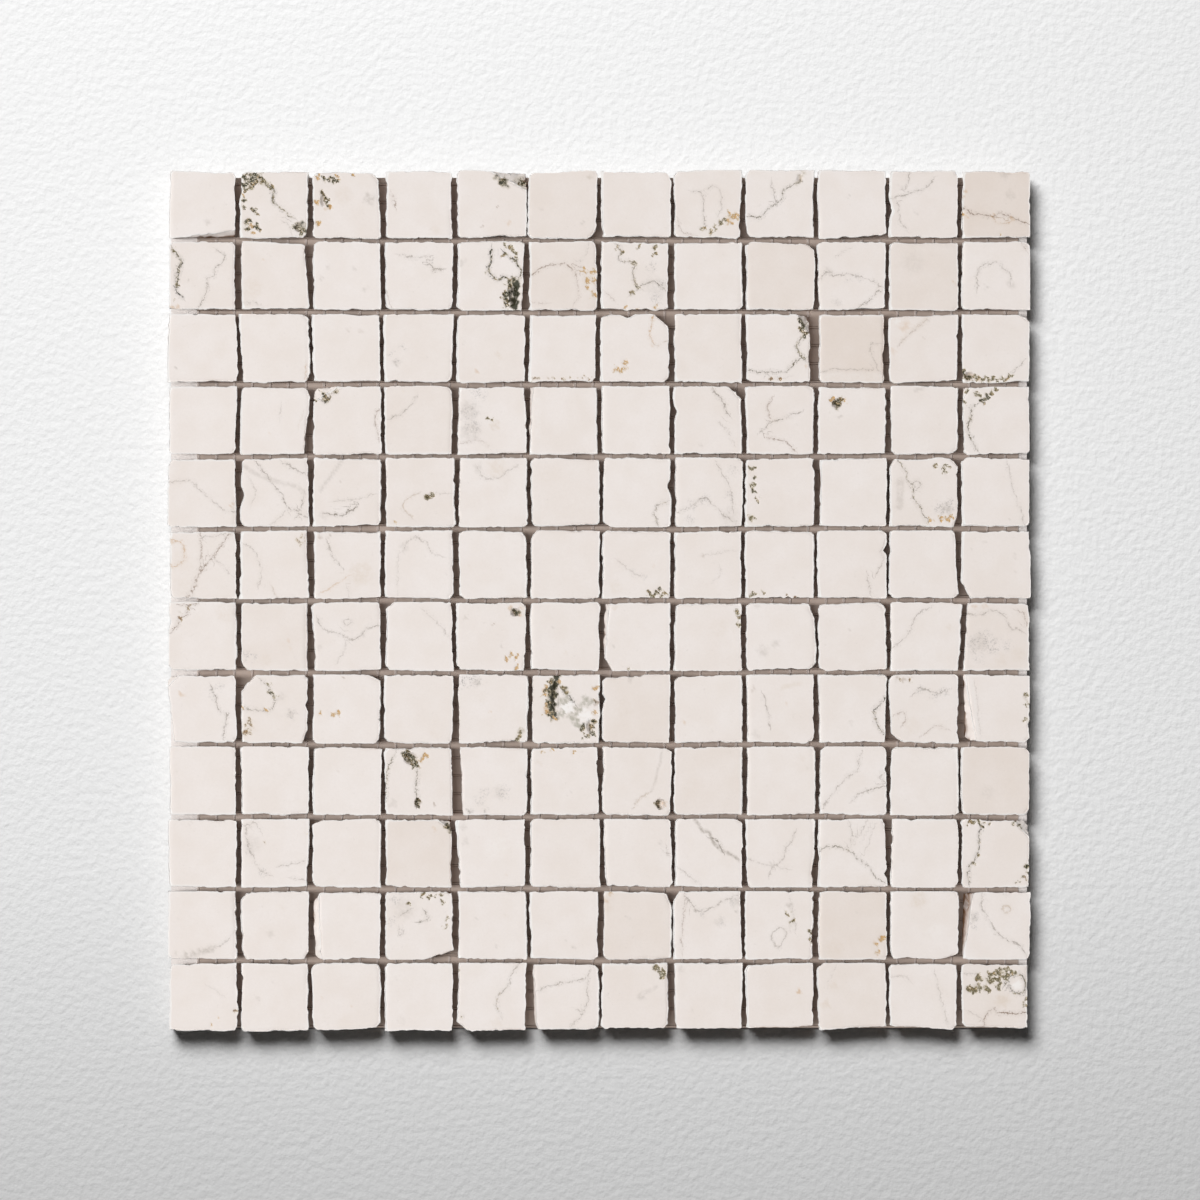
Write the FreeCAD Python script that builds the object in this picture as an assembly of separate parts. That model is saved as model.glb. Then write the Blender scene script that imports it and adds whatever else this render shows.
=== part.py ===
import FreeCAD, Part
import math
import os
import random

from FreeCAD import Vector

# Mosaic tile sheet: hand-chipped stones on a glass-yarn net with a coat of resin.
# Millimetres. +X runs along a row of stones, +Y up the sheet, +Z out of the face.
# The origin is under the middle of the sheet, on its back. Row 1 is at the +Y edge.

# The grid of stones
ROWS = 12
COLUMNS = 12
BLANK_SIDE = 24.95        # sawn stone before its edges are nibbled
LEAST_JOINT = 0.5         # between two blanks, the narrowest that a joint gets
STONE_THICKNESS = 10.0
PITCH = BLANK_SIDE + LEAST_JOINT

# The chipping of an ordinary stone
INSET_LEAST = 0.3         # how far a side stands in from its blank
INSET_MOST = 1.2
WANDER = 0.3              # how far a side strays from a straight line
WANDER_PLACES = ((0.24, 0.42), (0.58, 0.76))    # stretches of a side with one stray point each
NIBBLE_LEAST = 0.7        # a small corner that has been nibbled off
NIBBLE_MOST = 1.7
NIBBLE_SHARE = 0.35       # share of the corners that are nibbled
ARRIS_DROP = 0.5          # height of the worn edge round the face
FACE_SHARE = 0.966        # width of the face, as a share of the outline under the worn edge
BACK_SHARE = 0.972        # width of the back, which is narrower, as the stones split undercut
BACK_SHIFT = 0.14         # how far the back strays sideways from the outline
FACE_SHIFT = 0.28         # how far the face strays

# The make of an open hollow, a cut and a bite
HOLLOW_CORNERS = 7
HOLLOW_REACH = (0.4, 0.575)    # from the middle to a corner, as a share of the hollow's length
HOLLOW_FLOOR_SHARE = 0.45      # width of its floor, as a share of its mouth
HOLLOW_ABOVE = 0.3             # how far the cutting shape stands out of the face
CLEAR_OF_CORNER = 2.2          # least length of side between a cut corner and the next stray point
CLEAR_OF_BITE = 1.0            # and between a bite and the next one

# The backing
NET_PITCH = 6.35
YARN_WIDTH = 0.9
YARN_THICKNESS = 0.25
RESIN_THICKNESS = 0.2
NET_MARGIN_LEFT = 10.1    # from the blanks' outer line to the edge of the net
NET_MARGIN_RIGHT = 3.9
NET_MARGIN_TOP = 2.6
NET_MARGIN_BOTTOM = 1.1

# Heights of the layers, from the back up
WARP_Z = RESIN_THICKNESS
WEFT_Z = WARP_Z + YARN_THICKNESS
STONE_Z = WEFT_Z + YARN_THICKNESS
ARRIS_Z = STONE_Z + STONE_THICKNESS - ARRIS_DROP
FACE_Z = STONE_Z + STONE_THICKNESS

SIDES = ("top", "right", "bottom", "left")
CORNERS = ("top_left", "top_right", "bottom_right", "bottom_left")

# Sides that lean: (row, column): {side: (inset at its left or top end, inset at its other end)}
LEANS = {
    (1, 1): {"left": (1.4, 0.8), "top": (0.8, 1.6)},
    (1, 2): {"left": (0.9, 0.6), "right": (0.5, 1.1), "top": (1.5, 1.3)},
    (1, 3): {"top": (2.0, 1.8), "right": (1.5, 0.6)},
    (1, 4): {"top": (1.2, 1.5)},
    (1, 5): {"right": (0.1, 0.0)},
    (1, 6): {"left": (0.6, 0.0), "top": (1.6, 0.8)},
    (1, 7): {"right": (0.1, 0.1), "top": (1.2, 1.4)},
    (1, 8): {"top": (1.2, 0.4), "right": (0.4, 1.3)},
    (1, 10): {"bottom": (0.1, 2.0)},
    (1, 11): {"top": (1.2, 0.9)},
    (1, 12): {"left": (0.9, 0.8), "top": (1.3, 1.4)},
    (2, 1): {"right": (1.1, 1.1), "left": (0.9, 0.9)},
    (2, 2): {"top": (0.1, 1.4), "right": (2.1, 0.1), "left": (1.2, 1.1)},
    (2, 5): {"right": (0.7, 1.9)},
    (2, 8): {"right": (0.3, 0.2)},
    (2, 9): {"top": (0.8, 1.3), "right": (0.2, 0.5)},
    (3, 1): {"left": (0.8, 0.1), "right": (0.9, 0.2)},
    (3, 2): {"left": (0.1, 1.6)},
    (3, 9): {"right": (1.9, 1.9)},
    (3, 10): {"left": (1.0, 1.2), "right": (1.3, 1.4)},
    (3, 11): {"top": (1.8, 0.6), "bottom": (0.1, 1.5), "right": (0.4, 0.9)},
    (4, 2): {"right": (0.2, 2.0)},
    (4, 5): {"left": (1.4, 0.9), "right": (0.9, 0.0)},
    (4, 9): {"right": (0.3, 0.6)},
    (5, 1): {"left": (0.8, 0.1)},
    (5, 3): {"left": (1.2, 0.9)},
    (5, 10): {"right": (0.1, 0.2)},
    (6, 2): {"left": (1.0, 0.3), "right": (1.2, 0.4)},
    (6, 3): {"left": (1.2, 1.3)},
    (6, 6): {"left": (0.8, 0.6), "right": (0.2, 0.3)},
    (6, 11): {"right": (1.6, 0.3)},
    (6, 12): {"right": (0.9, 0.1)},
    (7, 3): {"left": (0.2, 1.4)},
    (7, 7): {"left": (1.5, 0.7)},
    (7, 9): {"right": (0.7, 0.2)},
    (7, 11): {"right": (-0.9, 0.6), "top": (0.2, 1.0)},
    (7, 12): {"left": (2.5, 1.0)},
    (8, 1): {"left": (0.2, 2.6)},
    (8, 5): {"left": (0.9, 0.7), "right": (0.2, 0.3)},
    (8, 6): {"left": (0.9, 1.0), "right": (0.2, 0.3)},
    (8, 7): {"top": (1.4, 0.4)},
    (8, 12): {"left": (1.2, 1.5)},
    (9, 5): {"left": (0.8, 1.9)},
    (10, 5): {"left": (0.2, 1.9)},
    (10, 6): {"right": (0.3, 0.3)},
    (10, 7): {"left": (0.9, 1.8), "right": (1.0, 0.1)},
    (10, 10): {"right": (1.7, 0.0)},
    (11, 3): {"left": (0.2, 1.3)},
    (11, 12): {"left": (1.2, 0.7)},
    (12, 3): {"left": (0.1, 0.9), "bottom": (1.0, 2.0)},
    (12, 6): {"left": (1.5, 2.0), "bottom": (1.2, 1.4)},
    (12, 7): {"left": (1.0, 0.8), "right": (1.4, 1.2), "bottom": (1.6, 1.9)},
    (12, 8): {"bottom": (1.9, 1.8)},
    (12, 9): {"top": (1.4, 0.2), "right": (1.0, 0.8), "bottom": (2.0, 2.6)},
    (12, 10): {"bottom": (1.2, 2.3)},
    (12, 11): {"bottom": (2.6, 1.2)},
    (12, 12): {"right": (1.5, 1.3), "bottom": (2.5, 1.9)},
}

# Stones laid off their place on the net, to the right: {row: {column: distance}}
SLIDES = {
    5: {4: 0.8, 5: 0.9, 6: 0.8, 7: 0.8, 8: 0.6, 9: 0.3, 10: 0.2},
    6: {4: 0.3, 5: 0.8, 6: 0.6, 7: 0.4, 8: 0.1},
    7: {6: 0.7, 7: 0.5, 8: 0.4, 9: 0.5, 10: 0.4},
    8: {5: 0.6, 6: 0.7, 7: 0.5, 8: 0.3, 9: 0.5, 10: 0.3},
    9: {5: 0.8, 6: 0.5, 7: 0.7, 8: 0.6, 9: 0.5, 10: 0.5, 11: 0.4},
    10: {6: 0.7, 7: 0.7, 8: 0.4, 9: 0.2, 10: 0.2, 11: 0.5},
    11: {2: 0.3, 5: 0.4, 6: 0.2, 7: 0.5, 10: 0.5, 11: 0.3},
    12: {5: 0.2, 6: 0.5, 8: 0.4},
}

# Corners that are struck off: (row, column): {corner: (length along the row, length up the column)}
CUT_CORNERS = {
    (1, 3): {"top_right": (2.0, 2.4)},
    (1, 6): {"bottom_right": (2.4, 2.4)},
    (1, 7): {"top_right": (1.6, 1.1)},
    (2, 9): {"top_right": (3.0, 2.0)},
    (3, 2): {"top_right": (1.6, 1.4)},
    (3, 7): {"top_right": (4.4, 4.0)},
    (3, 12): {"top_right": (3.7, 2.1)},
    (4, 2): {"top_right": (1.7, 3.0)},
    (4, 8): {"top_right": (4.4, 4.0)},
    (4, 9): {"top_right": (2.4, 1.3)},
    (5, 2): {"bottom_left": (1.6, 2.0)},
    (5, 7): {"bottom_left": (2.2, 1.6)},
    (5, 11): {"top_right": (2.6, 2.5), "bottom_right": (1.6, 3.6)},
    (6, 5): {"top_left": (1.4, 1.2), "top_right": (1.5, 1.6)},
    (6, 6): {"top_left": (2.0, 3.0)},
    (6, 12): {"bottom_left": (3.0, 5.6)},
    (7, 2): {"bottom_left": (1.6, 3.0)},
    (7, 4): {"top_left": (2.8, 2.2)},
    (7, 7): {"bottom_left": (3.3, 6.0)},
    (7, 9): {"top_right": (2.0, 5.2), "bottom_right": (2.2, 2.2)},
    (7, 10): {"top_right": (2.2, 2.4), "bottom_left": (2.6, 1.2)},
    (8, 2): {"top_left": (5.0, 5.2), "bottom_right": (1.5, 5.0)},
    (8, 3): {"top_right": (4.4, 1.7)},
    (8, 9): {"bottom_right": (2.4, 2.4)},
    (8, 11): {"bottom_left": (3.4, 2.7)},
    (9, 12): {"bottom_right": (1.7, 2.0)},
    (10, 3): {"top_left": (4.0, 1.4)},
    (11, 2): {"top_left": (1.8, 2.6), "bottom_left": (1.4, 3.2), "bottom_right": (1.6, 2.6)},
    (11, 3): {"top_left": (3.2, 3.5)},
    (11, 4): {"bottom_right": (10.0, 3.0)},
    (11, 7): {"top_right": (2.0, 4.0)},
    (11, 8): {"top_left": (2.0, 3.0)},
    (11, 11): {"bottom_right": (5.0, 1.6)},
    (12, 3): {"top_left": (1.8, 1.8)},
    (12, 5): {"bottom_left": (3.6, 3.0)},
}

# Bites out of a side: (row, column): [(side, place along it from its left or top end, width, depth)].
# The place runs from 0 to 1, and a bump has a negative depth.
BITES = {
    (1, 11): [("left", 0.6, 6.0, 0.9)],
    (1, 2): [("left", 0.5, 7.0, -0.5)],
    (3, 7): [("top", 0.40, 5.6, 1.3)],
    (3, 11): [("right", 0.33, 2.6, 0.8)],
    (4, 8): [("left", 0.37, 5.5, 1.3)],
    (4, 6): [("left", 0.62, 5.0, -0.6)],
    (5, 2): [("left", 0.55, 9.0, 1.1)],
    (5, 7): [("right", 0.42, 5.0, 1.0)],
    (5, 8): [("top", 0.57, 7.0, -1.0)],
    (5, 9): [("right", 0.13, 3.0, 0.7)],
    (5, 11): [("top", 0.72, 5.0, -0.9)],
    (6, 10): [("right", 0.28, 4.0, 0.8)],
    (7, 1): [("left", 0.30, 6.0, 0.7)],
    (7, 12): [("right", 0.25, 6.0, -0.5)],
    (8, 2): [("right", 0.45, 4.0, 0.8)],
    (8, 7): [("left", 0.36, 3.6, 1.0)],
    (9, 10): [("right", 0.33, 3.2, 0.9)],
    (10, 10): [("right", 0.80, 3.0, 1.2)],
    (11, 12): [("right", 0.40, 7.0, -0.4)],
    (2, 7): [("bottom", 0.38, 3.4, -0.6), ("bottom", 0.78, 3.4, -0.7)],
}

# Sloping flakes off an edge: (row, column): (side, width at its left or top end, at its other end, depth)
FLAKES = {
    (1, 1): ("bottom", 0.3, 2.6, 1.8),
    (7, 7): ("left", 2.0, 0.9, 1.6),
    (8, 12): ("left", 1.1, 4.8, 2.5),
    (11, 3): ("left", 3.1, 2.8, 2.4),
    (11, 12): ("left", 3.8, 0.5, 5.5),
    (4, 6): ("left", 1.4, 0.4, 1.2),
    (12, 6): ("left", 0.4, 1.7, 1.5),
}

# Corners broken off on a slope: (row, column): (corner, length along the row, up the column, depth)
SLOPED_CORNERS = {
    (1, 5): ("top_right", 13.5, 7.0, 4.5),
    (3, 9): ("top_right", 4.6, 8.0, 3.5),
    (4, 3): ("top_left", 9.4, 5.8, 2.6),
    (8, 1): ("top_left", 4.8, 5.0, 2.5),
    (10, 4): ("top_right", 5.2, 4.4, 2.6),
    (10, 12): ("top_right", 6.0, 6.4, 3.0),
    (4, 12): ("top_left", 3.5, 5.0, 1.5),
}

# Open hollows in a face: (row, column): [(x and y from the stone's centre, length along X, along Y, depth)]
HOLLOWS = {
    (1, 2): [(8.7, -8.2, 3.4, 3.6, 1.6)],
    (1, 3): [(-8.0, 1.5, 3.2, 5.2, 1.5)],
    (1, 9): [(7.4, 9.0, 1.9, 3.0, 1.5)],
    (2, 5): [(7.9, -6.5, 3.4, 8.6, 3.2)],
    (3, 12): [(-9.4, -9.6, 3.6, 2.4, 1.6)],
    (4, 10): [(-5.1, 6.0, 4.4, 3.4, 1.8)],
    (5, 4): [(3.1, -1.6, 2.8, 1.7, 1.2)],
    (7, 5): [(8.8, 8.6, 3.4, 3.0, 2.4)],
    (8, 6): [(-3.4, 4.3, 2.8, 12.5, 1.7), (9.0, -6.3, 2.6, 5.6, 1.5)],
    (9, 4): [(-2.7, 8.0, 5.0, 4.4, 2.0), (-0.3, -7.6, 2.4, 4.0, 1.8)],
    (9, 7): [(8.4, -7.9, 3.4, 4.2, 2.6)],
}


def between(start, end, place):
    return start + (end - start) * place


def side_insets(row, column, chance):
    """How far each side stands in at its left or top end and at its other end."""
    insets = {side: (chance.uniform(INSET_LEAST, INSET_MOST), chance.uniform(INSET_LEAST, INSET_MOST))
              for side in SIDES}
    insets.update(LEANS.get((row, column), {}))
    return insets


def corner_cuts(row, column, chance):
    """The lengths along the row and up the column that each nibbled corner loses."""
    cuts = {}
    for corner in CORNERS:
        nibble = (chance.uniform(NIBBLE_LEAST, NIBBLE_MOST), chance.uniform(NIBBLE_LEAST, NIBBLE_MOST))
        if chance.random() < NIBBLE_SHARE:
            cuts[corner] = nibble
    cuts.update(CUT_CORNERS.get((row, column), {}))
    return cuts


def side_profile(side, ends, bites, chance):
    """Points inside one side, as (place along it from 0 to 1, inset)."""
    strays = [(chance.uniform(*places), chance.uniform(-WANDER, WANDER)) for places in WANDER_PLACES]
    points = [(place, between(*ends, place) + stray) for place, stray in strays]
    for bitten, middle, width, depth in bites:
        if bitten != side:
            continue
        half = width / 2 / BLANK_SIDE
        clear = half + CLEAR_OF_BITE / BLANK_SIDE
        points = [point for point in points if abs(point[0] - middle) > clear]
        points += [(middle - half, between(*ends, middle - half)),
                   (middle, between(*ends, middle) + depth),
                   (middle + half, between(*ends, middle + half))]
    outermost = min(0.0, *ends)
    return sorted((place, max(inset, outermost)) for place, inset in points)


def on_side(side, place, inset):
    """A point of the outline, from the stone's centre."""
    half = BLANK_SIDE / 2
    along = place * BLANK_SIDE
    return {"top": (-half + along, half - inset),
            "bottom": (-half + along, -half + inset),
            "left": (-half + inset, half - along),
            "right": (half - inset, half - along)}[side]


def corner_points(corner, insets, cuts):
    """One point for a whole corner, or two for a cut one: the row side's point, then the column side's."""
    row_side, column_side = corner.split("_")
    row_end = 0.0 if column_side == "left" else 1.0
    column_end = 0.0 if row_side == "top" else 1.0
    row_inset = between(*insets[row_side], row_end)
    column_inset = between(*insets[column_side], column_end)
    x = on_side(column_side, column_end, column_inset)[0]
    y = on_side(row_side, row_end, row_inset)[1]
    if corner not in cuts:
        return [(x, y)]
    along, up = cuts[corner]
    inward_x = 1 if column_side == "left" else -1
    inward_y = -1 if row_side == "top" else 1
    return [(x + inward_x * along, y), (x, y + inward_y * up)]


def clear_of_cut(side, points, cuts):
    """The points of a side that no cut corner reaches."""
    ends = {"top": ("top_left", "top_right", 0), "bottom": ("bottom_left", "bottom_right", 0),
            "left": ("top_left", "bottom_left", 1), "right": ("top_right", "bottom_right", 1)}[side]
    first = (cuts.get(ends[0], (0, 0))[ends[2]] + CLEAR_OF_CORNER) / BLANK_SIDE
    last = 1 - (cuts.get(ends[1], (0, 0))[ends[2]] + CLEAR_OF_CORNER) / BLANK_SIDE
    return [point for point in points if first < point[0] < last]


def stone_outline(row, column, insets, chance):
    """The outline under the worn edge, clockwise from the top left corner."""
    cuts = corner_cuts(row, column, chance)
    bites = BITES.get((row, column), [])
    profiles = {side: clear_of_cut(side, side_profile(side, insets[side], bites, chance), cuts)
                for side in SIDES}
    points = []
    for corner, side in zip(CORNERS, SIDES):
        at_corner = corner_points(corner, insets, cuts)
        arrives_on_row = corner in ("top_right", "bottom_left")
        points += at_corner if arrives_on_row else at_corner[::-1]
        runs_forward = side in ("top", "right")
        profile = profiles[side] if runs_forward else profiles[side][::-1]
        points += [on_side(side, place, inset) for place, inset in profile]
    return points


def ring(outline, z, share, shift):
    """The outline drawn in or out about the stone's centre, at a height. Its edges stay parallel."""
    return [Vector(x * share + shift[0], y * share + shift[1], z) for x, y in outline]


def face_of(points):
    return Part.Face(Part.makePolygon(points + points[:1]))


def stacked_rings(rings):
    """A solid with flat facets through rings of equal point count, from the lowest up."""
    faces = [face_of(rings[0]), face_of(rings[-1])]
    for lower, upper in zip(rings, rings[1:]):
        for this in range(len(lower)):
            after = (this + 1) % len(lower)
            faces.append(face_of([lower[this], lower[after], upper[after], upper[this]]))
    solid = Part.Solid(Part.Shell(faces))
    if solid.Volume < 0:
        solid.reverse()
    return solid


def cut_above(stone, a, b, c):
    """Take off what lies above the plane through three points."""
    normal = (b - a).cross(c - a)
    if normal.z < 0:
        normal = normal.negative()
    reach = 3 * BLANK_SIDE
    block = Part.makeBox(reach, reach, reach, Vector(-reach / 2, -reach / 2, 0))
    block.Placement = FreeCAD.Placement(a, FreeCAD.Rotation(Vector(0, 0, 1), normal))
    return stone.cut(block)


def flake_off(stone, insets, side, start_width, end_width, depth):
    """Strike a sloping flake off one edge of the face."""
    edge = insets[side]
    start = on_side(side, 0.0, edge[0] + start_width)
    end = on_side(side, 1.0, edge[1] + end_width)
    low = on_side(side, 0.5, between(*edge, 0.5))
    return cut_above(stone, Vector(*start, FACE_Z), Vector(*end, FACE_Z), Vector(*low, FACE_Z - depth))


def break_corner(stone, insets, corner, along, up, depth):
    """Break one corner of the face off on a slope."""
    x, y = corner_points(corner, insets, {})[0]
    inward_x = 1 if corner.endswith("left") else -1
    inward_y = -1 if corner.startswith("top") else 1
    return cut_above(stone, Vector(x + inward_x * along, y, FACE_Z), Vector(x, y + inward_y * up, FACE_Z),
                     Vector(x, y, FACE_Z - depth))


def open_hollow(stone, x, y, length_x, length_y, depth, chance):
    """Sink one uneven hollow, narrower at its floor, into the face."""
    mouth = []
    for corner in range(HOLLOW_CORNERS):
        angle = 2 * math.pi * corner / HOLLOW_CORNERS
        reach = chance.uniform(*HOLLOW_REACH)
        mouth.append((math.cos(angle) * length_x * reach, math.sin(angle) * length_y * reach))
    widening = 1 + (1 - HOLLOW_FLOOR_SHARE) * HOLLOW_ABOVE / depth
    hollow = stacked_rings([ring(mouth, FACE_Z - depth, HOLLOW_FLOOR_SHARE, (x, y)),
                            ring(mouth, FACE_Z + HOLLOW_ABOVE, widening, (x, y))])
    return stone.cut(hollow)


def make_stone(row, column):
    """One chipped stone, where it lies on the net."""
    chance = random.Random(1000 * row + column)
    insets = side_insets(row, column, chance)
    outline = stone_outline(row, column, insets, chance)
    shifts = [(chance.uniform(-most, most), chance.uniform(-most, most))
              for most in (BACK_SHIFT, FACE_SHIFT)]
    stone = stacked_rings([ring(outline, STONE_Z, BACK_SHARE, shifts[0]),
                           ring(outline, ARRIS_Z, 1.0, (0, 0)),
                           ring(outline, FACE_Z, FACE_SHARE, shifts[1])])
    if (row, column) in FLAKES:
        stone = flake_off(stone, insets, *FLAKES[row, column])
    if (row, column) in SLOPED_CORNERS:
        stone = break_corner(stone, insets, *SLOPED_CORNERS[row, column])
    for hollow in HOLLOWS.get((row, column), []):
        stone = open_hollow(stone, *hollow, chance)
    x = (column - (COLUMNS + 1) / 2) * PITCH + SLIDES.get(row, {}).get(column, 0.0)
    y = ((ROWS + 1) / 2 - row) * PITCH
    stone.translate(Vector(x, y, 0))
    return stone


def net_box():
    """The lowest and highest corner of the net, in plan."""
    half_x = (COLUMNS * PITCH - LEAST_JOINT) / 2
    half_y = (ROWS * PITCH - LEAST_JOINT) / 2
    return (-half_x + NET_MARGIN_LEFT, -half_y + NET_MARGIN_BOTTOM,
            half_x - NET_MARGIN_RIGHT, half_y - NET_MARGIN_TOP)


def yarn_starts(low, high):
    """Where each yarn's near edge lies between two edges of the net."""
    count = int((high - low - YARN_WIDTH) / NET_PITCH) + 1
    return [low + number * NET_PITCH for number in range(count)]


def warp_yarns():
    """The yarns that run up the sheet."""
    low_x, low_y, high_x, high_y = net_box()
    return [Part.makeBox(YARN_WIDTH, high_y - low_y, YARN_THICKNESS, Vector(x, low_y, WARP_Z))
            for x in yarn_starts(low_x, high_x)]


def weft_yarns():
    """The yarns that run along the rows, laid over the warp."""
    low_x, low_y, high_x, high_y = net_box()
    return [Part.makeBox(high_x - low_x, YARN_WIDTH, YARN_THICKNESS, Vector(low_x, y, WEFT_Z))
            for y in yarn_starts(low_y, high_y)]


def resin_coat():
    """The coat that bonds the net to the stones, brushed over the back."""
    low_x, low_y, high_x, high_y = net_box()
    return [Part.makeBox(high_x - low_x, high_y - low_y, RESIN_THICKNESS, Vector(low_x, low_y, 0))]


def middle_of(stones):
    """The middle of the stones, in plan."""
    box = Part.makeCompound(stones).optimalBoundingBox(False)
    return Vector(box.Center.x, box.Center.y, 0)


def build():
    nodes = {f"stone_row_{row:02d}": [make_stone(row, column) for column in range(1, COLUMNS + 1)]
             for row in range(1, ROWS + 1)}
    middle = middle_of([stone for stones in nodes.values() for stone in stones])
    nodes["net_warp"] = warp_yarns()
    nodes["net_weft"] = weft_yarns()
    nodes["resin_coat"] = resin_coat()
    os.makedirs("parts", exist_ok=True)
    for name, solids in nodes.items():
        for solid in solids:
            solid.translate(middle.negative())
        shape = Part.makeCompound(solids) if len(solids) > 1 else solids[0]
        shape.exportStep(f"parts/{name}.step")
        print(name, len(solids), "solids,", len(shape.Faces), "faces, valid", shape.isValid(),
              "volume", round(shape.Volume, 1))
    print("middle moved by", middle)


build()
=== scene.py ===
# %% [markdown]
# A sheet of stone mosaic, as it comes out of its box: 144 small stones with honed faces and chipped edges,
# held at even joints by a net and a coat of resin on their backs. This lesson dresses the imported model.
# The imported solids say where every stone, yarn and coat is. Here each one gets its real surface.

# %% The frame and its sizes
import math
import random

import bmesh
import bpy
import numpy as np
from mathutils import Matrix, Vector
from mathutils.bvhtree import BVHTree


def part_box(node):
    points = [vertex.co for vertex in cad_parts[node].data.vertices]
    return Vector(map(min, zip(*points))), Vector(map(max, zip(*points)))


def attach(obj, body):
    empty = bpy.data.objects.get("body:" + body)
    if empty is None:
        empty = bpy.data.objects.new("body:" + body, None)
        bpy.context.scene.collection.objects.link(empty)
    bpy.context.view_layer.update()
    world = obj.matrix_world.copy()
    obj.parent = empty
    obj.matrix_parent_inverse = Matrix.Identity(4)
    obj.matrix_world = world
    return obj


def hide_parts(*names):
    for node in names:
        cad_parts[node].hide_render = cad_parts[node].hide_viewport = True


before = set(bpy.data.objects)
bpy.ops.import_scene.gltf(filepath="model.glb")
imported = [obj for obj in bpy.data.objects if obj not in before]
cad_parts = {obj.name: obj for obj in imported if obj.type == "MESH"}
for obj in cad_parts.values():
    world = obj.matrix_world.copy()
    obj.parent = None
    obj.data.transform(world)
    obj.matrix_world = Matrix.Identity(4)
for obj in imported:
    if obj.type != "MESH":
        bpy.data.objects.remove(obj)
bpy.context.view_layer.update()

MM = 0.001
PITCH = 25.45           # from stone to stone, in millimetres
COLUMNS = 12
ROWS = sorted(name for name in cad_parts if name.startswith("stone_row_"))
BACK_Z, FACE_Z = (corner.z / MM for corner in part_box(ROWS[0]))
print("rows", len(ROWS), "face at", round(FACE_Z, 3), "mm, back at", round(BACK_Z, 3), "mm")

# %% [markdown]
# Every stone is sawn from a strip and then nibbled round its edge with pliers. Its face is honed smooth, and
# its edge is a rough break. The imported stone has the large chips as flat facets. A surface that can carry
# fine relief needs an even mesh, so the stone is measured with rays, as a probe measures a casting: level
# rays find its wall, and rays from above find its face and hollows. The result is a grid on the face and
# rings down the wall, nearly all of four-sided faces. One flat face closes the underside.

# %% Separate the stones of one row
WELD = 1e-6             # corners closer than this are one, in metres


def stones_of(node):
    """Each stone of a packed row as a tree for ray casts, in millimetres, from left to right."""
    mesh = bmesh.new()
    mesh.from_mesh(node.data)
    bmesh.ops.remove_doubles(mesh, verts=mesh.verts, dist=WELD)
    seen = set()
    found = []
    for first in mesh.verts:
        if first in seen:
            continue
        seen.add(first)
        island = [first]
        for vertex in island:           # the list grows while the loop runs along it
            for edge in vertex.link_edges:
                other = edge.other_vert(vertex)
                if other not in seen:
                    seen.add(other)
                    island.append(other)
        number = {vertex: place for place, vertex in enumerate(island)}
        points = [vertex.co / MM for vertex in island]
        faces = [[number[v] for v in face.verts] for face in mesh.faces if face.verts[0] in number]
        middle = (min(p.x for p in points) + max(p.x for p in points)) / 2
        found.append((middle, BVHTree.FromPolygons(points, faces)))
    mesh.free()
    return [tree for middle, tree in sorted(found, key=lambda pair: pair[0])]


def stone_centre(row, column):
    """The nominal centre of a stone, in millimetres."""
    return ((column - (COLUMNS + 1) / 2) * PITCH, ((len(ROWS) + 1) / 2 - row) * PITCH)


print("stones in the first row", len(stones_of(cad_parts[ROWS[0]])))

# %% Measure one stone with rays
FAR = 30.0                                            # where the rays start, clear of the stone
LEVELS = (0.03, 0.2, 0.5, 1.1, 2.2, 4.2, 7.0, 9.97)   # depths of the wall's rings under the face
RIM_BAND = 0.35                                       # the width of the mesh's outermost band


def spread(steps):
    """Places from 0 to 1 along a side: narrow bands at both ends, for the rim, and even steps between."""
    rim = RIM_BAND / PITCH
    return np.concatenate([[0], np.linspace(rim, 1 - rim, steps - 1), [1]])


def square_walk(steps):
    """Points round the unit square, clockwise from its top left corner, with steps on each side."""
    t = spread(steps)[:-1] * 2 - 1
    one = np.ones(steps)
    sides = [(t, one), (one, -t), (-t, -one), (-one, t)]
    return np.concatenate([np.stack(side, 1) for side in sides])


def measure_ring(tree, centre, depth, steps):
    """The wall at one depth, met by level rays from outside."""
    z = FACE_Z - depth
    ring = []
    for x, y in square_walk(steps):
        outward = Vector((x, y, 0)).normalized()
        start = Vector((centre[0], centre[1], z)) + outward * FAR
        hit = tree.ray_cast(start, -outward)[0]
        ring.append((hit.x, hit.y, z))
    return np.array(ring)


def fill_patch(ring, steps):
    """A grid of points inside a ring, blended from its four sides (a Coons patch)."""
    top = ring[:steps + 1, :2]
    right = ring[steps:2 * steps + 1, :2]
    bottom = ring[2 * steps:3 * steps + 1, :2][::-1]
    left = np.concatenate([ring[3 * steps:], ring[:1]])[:, :2][::-1]
    u = spread(steps)[None, :, None]
    v = spread(steps)[:, None, None]
    across = (1 - v) * top[None] + v * bottom[None]
    along = (1 - u) * left[:, None] + u * right[:, None]
    corners = (1 - v) * ((1 - u) * top[0] + u * top[-1]) + v * ((1 - u) * bottom[0] + u * bottom[-1])
    return across + along - corners


def measure_face(tree, ring, steps):
    """Heights of the face and its hollows under the inner points of the patch."""
    grid = fill_patch(ring, steps)
    points = np.zeros((steps + 1, steps + 1, 3))
    points[..., :2] = grid
    points[..., 2] = ring[0, 2]
    for i in range(1, steps):
        for j in range(1, steps):
            x, y = grid[i, j]
            hit = tree.ray_cast(Vector((x, y, FACE_Z + FAR)), Vector((0, 0, -1)))[0]
            points[i, j, 2] = hit.z if hit else ring[0, 2]
    return points


print("one stone's wall is measured at", len(LEVELS), "depths, down to", LEVELS[-1], "mm")

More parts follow.
